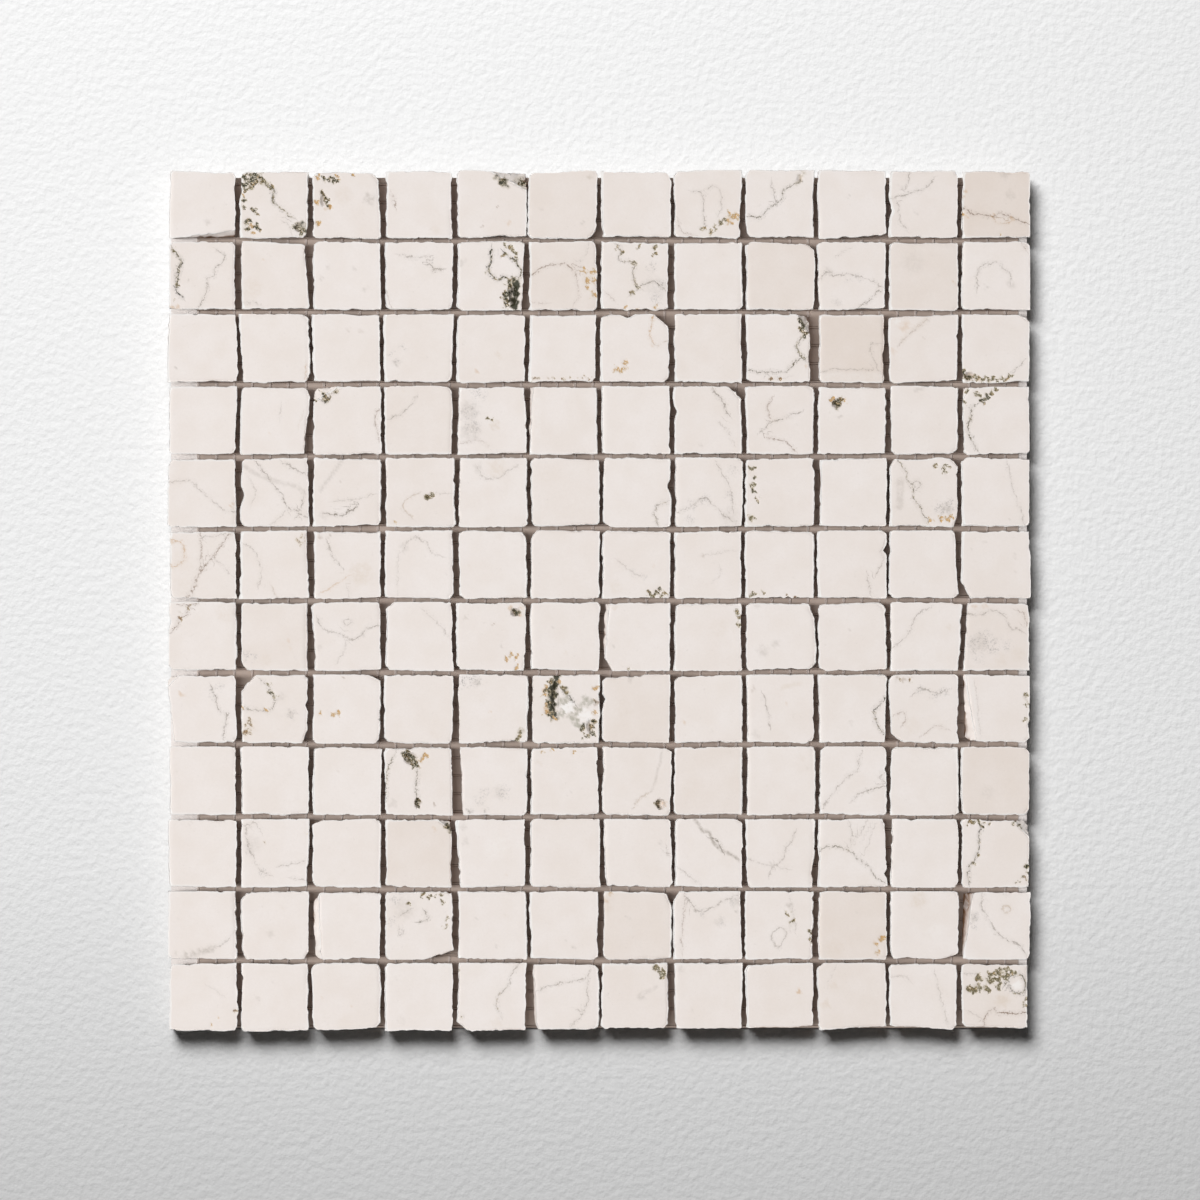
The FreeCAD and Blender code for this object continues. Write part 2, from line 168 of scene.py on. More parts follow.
# %% Mesh one stone
WORN_LEVEL = 0.5                                      # the ring that the two above it run out to
CRISP = (0.5, 0.95)                                   # how far each of those two runs out, as a share
FLARE = (0.26, 0.24)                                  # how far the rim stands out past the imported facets
FLARE_DEPTH = 3.0                                     # and how far down the wall that fades
CLOSE_STONES = ((5, 10), (5, 11), (8, 6), (8, 7))     # too near a neighbour to stand out sideways
CLOSE_FLARE = (-0.1, 0.24)
NIBBLE_REACH = 1.1                                    # how far from the edge its nibbles shift the face


def grid_border(wide, tall):
    """The numbers of a grid's points round its border, in the order of the walk."""
    number = np.arange(wide * tall).reshape(tall, wide)
    return np.concatenate([number[0, :-1], number[:-1, -1], number[-1, :0:-1], number[:0:-1, 0]])


def grid_quads(wide, tall):
    """The faces between a grid's points."""
    corner = (np.arange(tall - 1)[:, None] * wide + np.arange(wide - 1)).ravel()
    return np.stack([corner, corner + wide, corner + wide + 1, corner + 1], 1)


def band_quads(upper, lower):
    """The faces between two rings of points."""
    return np.stack([upper, np.roll(upper, -1), np.roll(lower, -1), lower], 1)


def edge_pull(places):
    """Level vectors that point to the nearest edge, long beside it. Places run from -1 to 1."""
    gap = (1 - np.stack([places, -places])) * PITCH / 2
    ahead, behind = np.exp(-gap / NIBBLE_REACH)
    return np.concatenate([ahead - behind, np.zeros((len(places), 1))], 1)


def mesh_stone(tree, centre, steps, flare):
    """One stone as (points, quads, the bottom's outline, depth of each point, pull of its edge)."""
    rings = [measure_ring(tree, centre, depth, steps) for depth in LEVELS]
    worn = rings[LEVELS.index(WORN_LEVEL)]
    for ring, share in zip(rings, CRISP):
        ring[:, :2] += share * (worn - ring)[:, :2]
    face = measure_face(tree, rings[0], steps).reshape(-1, 3)
    points = np.concatenate([face] + rings[1:])
    wide = steps + 1
    count = 4 * steps
    border = upper = grid_border(wide, wide)
    quads = [grid_quads(wide, wide)]
    for level in range(1, len(LEVELS)):
        lower = np.arange(count) + wide * wide + (level - 1) * count
        quads.append(band_quads(upper, lower))
        upper = lower
    depth = np.concatenate([np.zeros(len(face)), np.repeat(LEVELS[1:], count)])
    depth[border] = LEVELS[0]
    along = spread(steps) * 2 - 1
    places = np.stack([np.tile(along, wide), np.repeat(-along, wide)], 1)
    pull = edge_pull(np.concatenate([places] + [square_walk(steps)] * (len(LEVELS) - 1)))
    points[:, :2] += pull[:, :2] * flare * np.clip(1 - depth / FLARE_DEPTH, 0, 1)[:, None]
    return points, np.concatenate(quads), upper, depth, pull


first_tree = stones_of(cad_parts[ROWS[0]])[0]
print("a stone at 4 steps a side has", len(mesh_stone(first_tree, stone_centre(1, 1), 4, FLARE)[0]), "points")

# %% [markdown]
# A natural stone is told by its marks: grey and ochre veins, open cracks, clusters of small pits where the
# shells in it have weathered out, and soft stains. Each mark is a stroke of a brush along a few points,
# placed in millimetres from the stone's own centre, as the photo shows it. A stroke is stored on
# the mesh as a distance, and the material and the relief turn it into a line. A signed distance, positive on
# one side and negative on the other, keeps a line far thinner than the mesh's own spacing.

# %% The marks of the stones
# One block of lines for each row of stones, and one line for each mark: the stone's column, the kind of mark,
# its tone, its strength, its size in millimetres, and then the points of its stroke as x,y. A vein or a crack
# is a thin line, a band a soft one. Pores are clusters of pits, grey ones drifts of dots, and a stain is soft.
MARKED_ROWS = ["""
1 stain grey 0.3 1.2 1.8,-6.6
2 pores moss 1 1.9 -10.6,9.6 -9,8 -7.4,9.8 -5.2,10 -7,7.4 -10.4,6.6
2 stain olive 0.45 1.5 -9.6,8.4 -6,8.8 -3.4,7.4
2 pores olive 1 1.4 -4,8.2 -2.6,7 -1.2,5.8 -10.4,5 -8.8,5.6
2 crack moss 1 0.5 -1.6,6.4 -0.4,5 -0.5,2.6 -0.3,0.2
2 crack olive 0.75 0.32 -0.3,0.2 2,-1.2 4,-2.9 5.4,-4.2 6.6,-4.9
2 pores moss 0.9 1.1 -7.5,-1.6 -6.8,-2.6 -5.9,-3.8 -10.6,1.6 -10.9,-1.2
2 pores moss 1 1.3 -10.3,-6.6 -9,-5.7 -9.6,-8.8 -6.4,-7.6 -5.6,-8.8
2 pores ochre 0.9 1.1 -11,3.2 -8,-7.6 -7.8,-10
2 stain moss 0.95 2 9.3,-7.6 10.4,-9.2
2 pores moss 0.8 2.2 7.6,-8.2 9.6,-9.6
2 vein grey 0.3 0.3 3.7,-6.4 5.2,-7.4 5.8,-9.4
3 pores ochre 1 1.2 -10,9.6 -3,9.4 2.6,10.3 -10.2,-6.6
3 pores moss 1 1.4 -7.9,9.2 -6.6,8.3 -4.9,9.2 -3.9,8
3 pores moss 1 1.3 -8.3,4 -8,2.4 -6.9,0.9 -6.6,-0.4
3 stain moss 0.6 1 -8.2,3.4
3 pores ochre 1 1.3 -10.2,0.9 -5.8,-1.4
3 stain ochre 0.5 1.3 -10.2,0.8 -6.6,-1.2 -10.4,-6.8
3 stain grey 0.35 2.8 8,1.8
3 stain sand 0.25 4 -1,3
4 vein brown 0.4 0.4 -9.3,3 -8.9,1.6 -8.3,-0.6
4 stain sand 0.25 2 6,-9
5 stain moss 0.95 1.6 2.4,9.1 4,7.8 5.2,6.7
5 pores moss 1 2.2 4.4,8 11,8
5 stain olive 0.5 2 9.3,8.6 11.4,7
5 stain brown 0.7 0.5 2.2,-1.3 -3,-8.2
5 stain ochre 0.3 1.2 6.2,-6.7
6 stain olive 0.3 1 9.6,9.4
6 stain grey 0.3 0.7 -7.4,-2 6.8,-6.6
7 stain sand 0.5 0.8 6,-8.8
8 vein grey 0.5 0.3 -5,4.5 -2,3.8 -1.3,0.7 -1.3,-4 -0.6,-7.4
8 vein grey 0.35 0.3 0,5.5 2.8,6.1 4.8,4.5 4.9,-1.3 4,-3.5
8 pores olive 0.8 1.5 -1.3,-8.4 1.4,-10 2.8,-8 4.6,-7 6.5,-5.3
8 pores ochre 0.9 1.7 8.2,-3.8 10.2,-4.6 7.8,-6.4
8 stain ochre 0.35 1.5 8,-6 10,-4.4
8 vein brown 0.35 0.3 -10.2,-6 -9.6,-8.4 -8,-10.2 -5,-11
9 vein olive 0.6 0.35 -10.3,-4.3 -6.3,-4.7 -5.3,-3 -1.6,-0.3 0.8,1.4 1.8,5.1 4.2,6.1 6.6,7.4
9 stain moss 0.85 0.9 6.8,7.8 7.6,9.4 8.2,10.8
9 vein grey 0.4 0.3 -2.6,7.4 -2.2,5.1 -1.2,1
10 stain grey 0.3 0.8 -1.4,2.4
11 vein grey 0.4 0.3 -4.7,10.6 -6.2,5.5
11 vein grey 0.45 0.35 -11.3,2.1 -7.9,2.8 -3.2,4.5 0.2,5.5 2.9,8.2
11 vein grey 0.35 0.3 -9.2,0.4 -8.2,-5.6 -6.2,-8.7
11 stain grey 0.3 0.9 -2.8,-3 -8,6
12 stain ochre 0.6 0.8 -10.7,4.8 -11.6,2.4 -12,-2 -10.4,-4.2 -0.9,-4.2 5.9,-4.9
12 vein brown 0.6 0.3 -11.7,-1 -9,-3 -5,-3.6 -0.9,-4.3 1.8,-3.3 5.8,-4.7 10.5,-6.7
12 vein ochre 0.4 0.3 -0.8,-4.6 0.4,-6.4 3.8,-7 5.9,-5.2
12 pores ochre 1 1.1 2.4,-10.6 -11.4,-3.6
12 stain grey 0.22 2.2 3.1,10.4 5.1,3.1
""", """
1 vein olive 0.9 0.4 -10.4,9.7 -9,7.8 -7.3,5.6
1 crack moss 1 0.42 -7.3,5.6 -8,2 -8.8,-1.2 -9,-3.8
1 vein moss 0.8 0.35 -9.6,-4.4 -8.3,-6.1 -7,-7.5
1 vein olive 0.7 0.3 -8,4.4 -9.4,0.6 -9.2,-2.4
1 pores olive 0.9 1 -10,9.4 -9,-3.4 -9.4,-8
1 vein grey 0.45 0.3 5.5,9 7.9,7 6.9,4.7 4.5,2.3 4.2,0 1.8,-0.4 1.5,-5.5 -0.5,-9.9 -1.6,-11.9
1 stain ochre 0.5 1.1 -8.4,-10.9 -10.4,-10.9
1 stain grey 0.4 0.6 -4.6,-1.1 7.4,7.8
2 stain ochre 0.6 0.7 -4.3,6.2
2 stain sand 0.35 4.5 -8,-4.2
2 vein grey 0.4 0.35 -10.1,-9.2 -6,-9.9 -3.4,-11.9
3 stain grey 0.25 1 -6.2,3 -8.9,-1 2.6,2.3 6.6,-4.5
4 vein grey 0.4 0.4 -6.4,7.4 -3,6.7 0.4,6.3 3.4,6.7
4 vein grey 0.55 0.4 3.4,4.3 4.8,4 5.1,2 7.8,2.3
4 vein brown 0.25 0.3 -11.1,-5.5 -9.7,-12
4 pores grey 0.5 1 -2.6,6.6 4.2,4.4
5 stain moss 1.9 1.8 8.9,-2 8.8,-4.2 8.6,-6.4 8.4,-8.6 8.4,-10.4
5 pores moss 1 1.7 6.4,-3.6 6,-6 6.4,-8.4 5.6,-10.2 4.8,-7.2 7.2,-1.6
5 crack moss 1 0.5 4.8,8.4 6.4,7 8.6,5.4 10.2,3
5 vein olive 0.8 0.35 10.4,3 10.6,1 9.4,-0.8 7.2,-1.6
5 crack moss 0.95 0.38 0.4,9.3 0.3,6.6 -0.4,4.3 -0.7,1.8 0.8,0.2 2.2,-1.2 5,-0.4 6.8,-1.4
5 pores olive 1 1.2 5,10.6 7,10 8.2,8.8 9,7 4.6,7.4
5 stain moss 0.9 0.7 -0.8,1.6 -1.6,1.4
5 stain grey 0.2 2 -10.3,4.7
6 vein brown 0.45 0.5 -10.8,0.6 -9.1,2 -6.1,3.4 -1.4,4.5 1.4,4 3.4,2.3 4.4,0.6
6 vein brown 0.25 0.3 4.6,-1 5.7,-6.8 4.4,-9.5
6 vein brown 0.3 0.3 3.8,4.2 6.8,3 8.6,0.6
6 vein grey 0.25 0.3 8.8,10.7 8.6,8 6,5.6
6 pores ochre 0.9 1.6 7.4,2 8.8,-1.4 10.6,1.3 10.8,-1.6 8.4,-3.8 10.8,-6.5
6 vein brown 0.25 0.3 -9.8,-9.2 -6.1,-9.5
6 stain sand 0.3 2.5 9,-1
7 crack grey 0.7 0.35 -6.2,10.7 -4.9,9.4 -5.5,6.7 -4.5,5.3 -1.5,5.3 -0.1,4 -0.8,1.3 0.2,-2.8 1.2,-4.1 -1.1,-6.1
7 vein olive 0.6 0.35 1.2,-3.8 4.3,-2.1 7.6,-2.1 10.3,-4.5
7 pores olive 0.9 1.3 -6,10 -4.6,8.6 -0.4,4.2 0.6,-3.4 -1,-6 1.2,10.2 7.3,10 7,7.8
7 pores grey 0.6 2.2 9.6,-3 7.6,-8 5.6,3.3
7 pores ochre 0.9 1 -3.4,-11.4 1.4,-11.4 7.2,-11
7 vein brown 0.3 0.25 -10,-6.1 -7.2,-8.8
7 stain grey 0.15 5 7,-4
10 vein grey 0.45 0.4 -11.5,-1.4 -8.8,1.3 -6.1,0.6 -0.7,0.6 3.4,-0.4
10 vein grey 0.4 0.35 7.4,-1.8 10.8,-3.8
10 vein grey 0.5 0.35 10.8,-5.2 9.1,-5.5 7.4,-7.5 4,-10.2 0.7,-11.9
10 pores grey 0.6 1.3 -8.6,1 -0.9,-1 2.6,-0.4 -4.7,-9.2
10 vein grey 0.25 0.3 -4.7,7.4 -1.4,9.4
10 stain grey 0.2 1.8 -5.5,-9.6 -8,2
11 stain grey 0.12 5 -3.8,4.7
11 stain ochre 0.35 0.8 11,-2.4
12 vein grey 0.45 0.35 -6.7,-4.1 -6.3,1.3 -4.7,3.6 -1.6,4.7 1.8,4.3 2.4,2.4 5.1,1.3 5.3,-1.4
12 stain grey 0.35 0.9 -3.4,-3.8 -6.3,1.6
12 vein brown 0.35 0.3 8.8,12 10.5,9.4
12 stain grey 0.2 2 5.4,-3
""", """
1 stain grey 0.45 0.6 -9.7,-7
1 stain sand 0.15 4 7,-1
2 vein ochre 0.35 0.5 10.9,-6.3 11.1,-11
3 stain brown 0.25 0.8 0.9,6.5 4.9,5.8
4 pores grey 0.55 1.4 -5.3,0.4 -7.7,-4.6 -9.5,-2
4 stain grey 0.25 1.4 -7.7,-5.4
5 stain sand 0.6 1.4 3,-2.6
5 stain ochre 0.45 0.7 -4.6,-8.2
5 stain grey 0.15 0.8 -10,2
6 pores brown 0.9 0.9 -10.4,-10.7 -8,-10.7 -5.4,-10.5 -3,-10.9 0.4,-11 2.4,-10.7 5.6,-10.6 7.4,-10 9.8,-10.7
6 stain brown 0.35 0.6 -9,-10.8 -5,-10.6 1,-11 7.6,-10.4
7 vein ochre 0.5 0.45 6.3,11.2 5.5,7.8 5.5,4.5 6.4,1.4
7 vein sand 0.6 0.45 6.6,1.1 8,0.7 9.7,2.1 11.7,2.4
7 stain ochre 0.7 0.6 6.3,1.4 11,9.9
7 pores ochre 1 1.5 -6.4,-7.6 -3.4,-5.4 -4.4,-7.6
7 stain ochre 0.4 1 -6.6,-7.4 -3.4,-5.2 -4,-7.4
9 pores moss 1 1.7 7.5,9.7 8.6,8 7.9,6.4 9.2,4.8
9 stain olive 0.5 1.2 8.6,9 8.6,5
9 crack olive 0.8 0.35 8.2,3.8 6.5,1.8 6.2,-0.3 8.9,-3.6
9 vein olive 0.65 0.32 8.9,-3.6 6.2,-4.3 3.2,-7.4 1.1,-8.4 -6.3,-8.4 -10.3,-7.7
9 pores brown 0.9 1 -2.9,-11 0.5,-10.8
9 vein grey 0.3 0.3 -4,-9 -2,-10.4 3,-10
9 stain ochre 0.4 0.6 9.2,-6.3
10 vein grey 0.3 0.35 -10.5,-8.4 -4.7,-7.4 7.4,-7.7
10 stain brown 0.6 0.6 6.6,-7.4
10 vein grey 0.3 0.35 8.6,1.6 7,1.2 7.4,-3 10.8,-9.7
10 band white 0.35 1.7 -10.5,-10 10.5,-10
11 stain ochre 0.3 2.6 -6.5,7.8
11 stain ochre 0.3 1.2 -10.9,-0.9
11 band sand 0.5 0.8 1.2,10.5 -1.1,8.5 -4.5,5.8 -7.9,2.4
11 vein brown 0.3 0.3 1.2,10 -4.5,5.2 -7.9,1.8
11 stain brown 0.5 0.6 0.1,3.7
11 stain white 0.5 2 -9,10
12 pores moss 1 1.5 -11.4,-8.4 -10.6,-10 -9,-10.6
12 stain brown 0.85 1.6 -11,-9.6 -9,-10.6
12 pores olive 1 1.3 -7.6,-9.6 -6,-10.8 -4.2,-11 -2.6,-10.8
12 stain ochre 0.5 1.3 -8.4,-9.6 -6,-11
12 pores olive 1 1.1 -0.9,-10.7 1,-10.9 2.8,-10.7 4.4,-10.6 5.4,-9.8
12 stain ochre 0.3 1.1 -2,-11 3.8,-10.8
12 vein grey 0.45 0.35 5.6,-9.4 6.8,-7.7 9.4,-5
""", """
2 stain ochre 0.5 0.6 -1.4,-4.6
2 vein grey 0.25 0.4 2.4,4.9 2,1
2 vein sand 0.4 0.4 9.8,1.8 9,-1.6
3 pores moss 1 1.8 -7.8,8.8 -6.8,7.6
3 pores olive 0.9 1.2 -10.9,7 -3.5,10.2
3 vein grey 0.6 0.3 -9.3,9.4 -8.6,7 -6.8,6.6 -5.9,8 -6.6,9.9 -8.6,10.2
3 vein olive 0.4 0.3 -6,9 -3.2,10.4
3 vein brown 0.4 0.35 11.7,3.6 10,0.9 10.7,-2.5 11.3,-6
4 vein grey 0.35 0.35 -1.1,8 -5,2.9 -9.4,0.9
4 stain grey 0.3 0.9 -1.3,7.6 -9.3,1
4 stain ochre 0.4 0.6 -5.7,10.7
5 stain grey 0.22 4.5 -7.6,3.6 -7,-4
5 pores grey 0.6 3.2 -7.6,2.6 -6.6,-2.6 -4.3,10
5 pores olive 1 0.9 -0.9,0.5 0.6,0.4
5 stain olive 0.6 0.6 0,0
5 stain sand 0.6 2.2 1.5,-1.7
5 vein brown 0.25 0.3 -10,-8 -4,-7 -1,-9.4
6 band white 0.4 1.2 -9,7 -9,-6
8 vein grey 0.6 0.4 1.8,11.3 3.8,8.3 5.8,6.3 6.4,4 7.5,2.2
8 vein grey 0.25 0.35 4.6,-1 7.4,-4 9.2,-7.6
8 stain grey 0.2 1 -2,-8.4
9 vein grey 0.5 0.4 -6.3,-3.8 -3.9,-1.5 -0.9,-0.1 6.9,2.8
9 vein brown 0.55 0.35 -3.9,-6.2 -0.9,-6.9 2.5,-7.6 5.2,-10.3
9 vein brown 0.35 0.4 -2.6,7.4 -4,5 -3.9,2.9 -2.9,0.7
9 stain sand 0.3 1.2 -1.8,0
10 stain moss 0.9 1 -5.4,6.4 -4.8,4.6
10 pores moss 1 1.9 -5.1,5.9 -3.8,6.9
10 pores ochre 1 1.3 -6.8,7.4 -2.6,7.2
10 stain grey 0.3 0.9 -4,1
11 band grey 0.3 0.6 -3,10.4 0,11.6
12 pores moss 1 1.3 -5,7.5 -4,6.6 -3,8.4
12 pores olive 1 1.2 -10.4,10 -7,9.3 -6,9 -1.6,9.6 -10.7,6.3 0,11
12 vein olive 0.75 0.3 -7.6,5 -8.7,3.9 -8.7,0.5 -9.7,-1.2 -9.4,-4.5 -8,-7.9 -6.7,-10
12 stain moss 0.9 0.55 -8.7,1.3 -8.7,0.4
""", """
1 vein grey 0.35 0.3 -11.3,3.8 -4.3,4.2 -2.6,2.8 -0.2,0.5 3.8,-2.9 7.9,-6.3 11.6,-7
1 stain ochre 0.7 0.6 10.7,-4.8
2 band grey 0.3 0.8 -10.8,9.6 -7.1,6.9 -2,4.9 2.7,3.3 7.4,2.2 10.1,0.5
2 vein grey 0.5 0.4 -6.4,10.6 -2.7,6.2 0,2.2 2.7,-0.9 4.4,-4.9 7.4,-6.3 11.8,-8.3
2 vein grey 0.25 0.35 4.5,-5.3 2.7,-8 -0.7,-10.7
2 vein grey 0.45 0.35 3.4,10.6 6.7,8.6 10.1,6.9
2 vein grey 0.35 0.4 10.5,-0.5 9.8,-5.3 8.1,-8
2 vein grey 0.2 0.4 -9,5 -6.6,0 -8,-4
3 band grey 0.35 0.7 -1.8,10.9 -5.2,6.2 -9.2,0.8
3 vein grey 0.8 0.4 -6.5,-7.6 -0.5,-8 0.5,-6.6 2.2,-6.3 3.6,-4.6
3 vein grey 0.25 0.4 -4.5,-3.2 3.6,-2.2 9.3,-0.9
3 stain brown 0.3 0.6 -1.5,4.2
3 stain grey 0.2 2 -8,-8
4 stain moss 1 0.8 2.6,-1.5 3.8,-1.6
4 pores olive 1 1.5 3.2,-1.6 4.6,-1
4 vein sand 0.7 0.5 -0.6,-0.5 -4.3,-2.6 -5.3,-5.3 -2.3,-8.8
4 pores ochre 0.8 1 -8,-10.6
4 vein grey 0.2 0.4 4.6,-0.6 10.4,-0.2
5 stain sand 0.45 4.2 2.2,8.6
5 stain grey 0.2 2 -4.4,8.9
5 vein grey 0.3 0.4 -4.6,8.2 -2.9,5.4 2.5,5.2 5.9,7.6 9.2,9.4
6 stain sand 0.12 5 -6,6 4,-6
7 crack grey 0.55 0.35 11.8,-2.9 10.7,-3.2 7.6,-5.3 7,-8 8,-11.7
7 stain sand 0.5 0.8 11.4,0.6
7 pores grey 0.6 1 10.9,-3.4 7.6,-5.4
8 vein grey 0.4 0.45 -9.7,-6.6 -5,-4.6 -0.9,-1.9 2.4,-4.6 6.5,-8.6 10.5,-10.7
8 vein grey 0.35 0.4 3.8,9.6 6.5,4.9 8.5,-0.5 9.2,-5.3
8 pores grey 0.55 2 -5.6,-4.6 -0.8,-2.6 8,-1 9,8 -6.2,-10
8 stain grey 0.15 4 8,-8
9 pores moss 1 1.2 -9,4.9 -8.8,0.4 -7.7,-2.4
9 pores olive 0.9 1.6 -9.7,8.4 -9.4,2.4 -9.8,-9
9 stain moss 0.8 0.5 -8.7,0.6 -7.6,-2.6
9 stain sand 0.3 2 -9.6,7
11 crack olive 0.55 0.35 -8.6,10.9 -7.2,8.6 -5.9,6.9 -6.2,4.9 -4.2,2.2 -3.2,-2.6 -1.1,-5.3 -0.1,-8 1.2,-10
11 vein olive 0.45 0.3 -4,2.8 -3.2,4.2 -1.4,4 -1,2.4 -2.4,1.2
11 pores olive 0.85 1.4 7,8.9 8.6,9.6 4.3,9.2 7.6,7
11 band grey 0.3 1.4 -8.2,4 -8.4,-5
11 stain grey 0.35 2.6 8,-5.6
11 pores ochre 0.9 1.5 6.3,-9.3 9.7,-8.6 8.4,-9.4 2.4,-10
11 pores grey 0.8 2.4 6,-5.4 9.6,-4.4
12 vein grey 0.3 0.35 3.8,10.9 5.1,6.2 6.1,1.5 8.5,-5.3 9.9,-10.7
12 stain grey 0.35 0.6 4.9,-10
""", """
1 vein brown 0.6 0.35 9.9,10.7 6.5,6.7 3.2,2 -1.6,-4.1 -3.6,-8.8 -5.9,-11.9
1 vein brown 0.35 0.35 -0.7,11.4 -0.3,5.3 -0.9,-1.4 -2.2,-6.1 -3.9,-11.5
1 vein ochre 0.45 0.5 -11,8.7 -7.6,8 -6.3,5.3 -6.3,2 -8.3,-0.1 -10.7,-0.4
1 stain ochre 0.6 0.8 -10.8,-0.4 -11,8 -6.8,6
1 stain sand 0.22 5 -7,1 -7,-8
1 vein grey 0.3 0.3 -0.2,9.7 3.8,9.9 8,11
1 vein grey 0.2 0.3 4.4,2 6.5,0.6 10,-3.4
2 vein grey 0.3 0.4 -10.1,7 -7.1,4.7 -5.1,0.6 -4.7,-4.1 -5.4,-6.8
2 vein sand 0.6 0.4 -0.7,-8.2 1,-11.5
2 pores brown 0.6 1.4 8.1,8.7 10,9.7 9.6,7.4
2 stain sand 0.3 1.5 8,8.6
3 stain brown 0.6 0.8 -8.9,9.6 -6,9.9
3 vein grey 0.4 0.4 -6.5,7.4 -4.9,3.3 -3.5,1.3 -1.8,-0.7
3 vein ochre 0.25 0.6 -8.2,-9.5 -4.5,-7.5 -0.1,-4.5
3 stain sand 0.5 5.2 4.9,-3
3 vein grey 0.25 0.3 0.2,-8.2 0.9,-11.5
4 vein grey 0.4 0.4 -5,5.7 -4,8 -1.6,9.7 1.1,8.4
4 vein grey 0.3 0.4 3.1,8 4.8,4 7.8,3
4 vein grey 0.22 0.4 -7,2.6 -7.4,-2.8 -7.4,-9.5
4 stain grey 0.9 0.5 9.3,-3.9
4 stain grey 0.15 2 -5,6
5 stain sand 0.2 2 3,10
5 stain sand 0.35 0.8 -8,-0.2
6 stain ochre 0.5 0.5 -11.7,-3.4
7 pores moss 1 1.3 4.9,-9.9 7.6,-9.9 9,-8.2
7 pores olive 0.9 1.7 6.3,-11 10,-10.4
7 vein grey 0.25 0.4 -5.9,1.3 -3.2,-0.7 -0.5,-3.1 2,-4
7 pores grey 0.5 1.3 -0.5,-2.8 3,-3.8
7 stain sand 0.25 3 -7,-8
7 stain ochre 0.25 0.6 6.3,-0.4
8 stain brown 0.3 0.7 -1.6,3.4
8 stain grey 0.35 0.5 2,0.6
8 vein grey 0.2 0.3 -1,3.4 9.2,5
8 vein grey 0.2 0.35 3,-5.6 4.5,-4.1 4.6,-1.4
9 pores olive 1 1.3 -5.6,-10 -8.4,-10.4 -10,-10.3
9 pores brown 0.8 1 3.2,-10.9 6,-11.4
9 stain moss 0.8 0.5 -5.5,-9.8
10 vein grey 0.4 0.4 5.7,-4.1 6.7,-9.5
10 vein grey 0.35 0.35 11.5,8 10.7,5 11.1,1.3 9.1,-2.8
10 stain grey 0.3 0.6 9,-11
12 stain grey 0.3 0.9 6.5,3.3
12 stain brown 0.5 0.6 7,-2.4
12 stain grey 0.2 0.8 -9,5 -4,8
""", """
1 vein brown 0.65 0.4 -7,11.4 -4.6,10.9 -5.6,7.8 -7.6,6.5 -8.3,4.5 -10.3,2.4
1 vein brown 0.4 0.3 -5,10.7 -2,11.6
1 pores brown 0.9 1.2 -4.9,10.6 -7.8,6.8
1 stain sand 0.3 4 7.9,8.5
1 stain olive 0.4 0.6 -4.9,10.6 -8.6,8.4
2 stain ochre 0.4 0.8 4.7,-1.8 5.9,-4
2 pores grey 0.75 2.2 -9.5,-6.7
2 pores grey 0.5 1.4 -7.4,-7.2
2 stain sand 0.3 3 -3,-8
2 stain grey 0.4 0.5 7.1,-7.8
3 vein grey 0.3 0.35 -0.8,5.8 -0.6,4.4 0.8,4 1.6,5.2 0.8,6.3 -0.4,6.2
3 vein grey 0.4 0.4 -9.9,5.8 -7.9,2.8 -3.8,1.4 0.2,-0.6 2.9,-0.9 5.6,1.1 7.6,3.4 12.4,4.1
3 vein grey 0.22 0.4 -0.1,-0.9 -0.5,-4.3 -2.8,-8.4
3 stain grey 0.25 1 -9.9,6 -10,-3.6 5.8,1.2
4 vein grey 0.25 0.35 1.8,9.2 5.8,5.8 10.5,0.4
5 stain moss 1 1.1 8.4,9.2 9.6,8.2
5 pores moss 1 1.6 9.2,8.4
5 stain ochre 0.6 0.9 11,10 10.6,7.4 7,10
5 pores ochre 1 1.3 7.2,-6.3 5.4,-7.9 8.9,-7.2 9.2,-10.7
5 stain ochre 0.6 0.7 7.2,-6 5.2,-8 8.8,-7 9.4,-10.7
5 stain brown 0.5 0.6 0.8,4.6
5 stain grey 0.25 0.9 -8.6,6.5 3.5,-3
6 stain grey 0.45 0.6 -3,3.1
6 stain sand 0.4 0.9 1.4,-5.7
7 stain sand 0.4 1.2 -7,10.4
7 stain grey 0.25 1 -7.9,-3
7 pores olive 0.8 1.2 -1.8,-10.9
7 band white 0.5 0.7 -9.6,9 -9.8,-2
8 pores olive 1 1.4 11.5,7 11.3,4.4 10.3,8.8
8 stain moss 0.6 0.5 11.5,4.6
8 stain sand 0.2 4 4,3
9 stain grey 0.25 1.7 -1.2,-2.3
9 stain grey 0.25 2.6 -5.8,-5
9 stain grey 0.2 1 -8,10.8
10 stain grey 0.35 0.5 -0.9,2.2
11 vein grey 0.35 0.35 -10.6,-3.6 -7.2,-0.9 -4.5,2.4 -3.5,5.8 -1.5,8.2 1.6,10.2
11 stain sand 0.4 1.4 9,3.8
11 stain grey 0.35 0.6 -4.6,2.4 -1.6,8
12 vein grey 0.35 0.4 -9.7,8.2 -5.7,7.8 -1.6,9.2 1.8,8.5 4.1,5.8 5.5,2.4 7.5,3.1 9.5,1.8
12 vein brown 0.35 0.35 7.8,9.2 9.9,8.2 10.6,5
12 pores grey 0.8 3 -7.2,-3 -4.3,-0.6 -0.9,-3
12 pores grey 0.55 2 3.8,-3.4 -5.7,-8
12 stain ochre 0.4 0.9 -7.4,10.8 -4,11
12 stain grey 0.2 4 -6,-2
12 stain sand 0.3 3 2,-8 8,-6
""", """
1 vein grey 0.45 0.4 3.2,7.6 4.5,4.3 5.5,0.2 7.2,-1.5 8.9,-1.5 8.2,-4.5 7.6,-9.9
1 pores grey 0.6 1.5 3.6,6.8 4.2,4.2 6,8
1 stain ochre 0.6 0.9 -7.8,5.6 -6.8,5.2
1 stain brown 0.4 0.6 10.6,-9.9
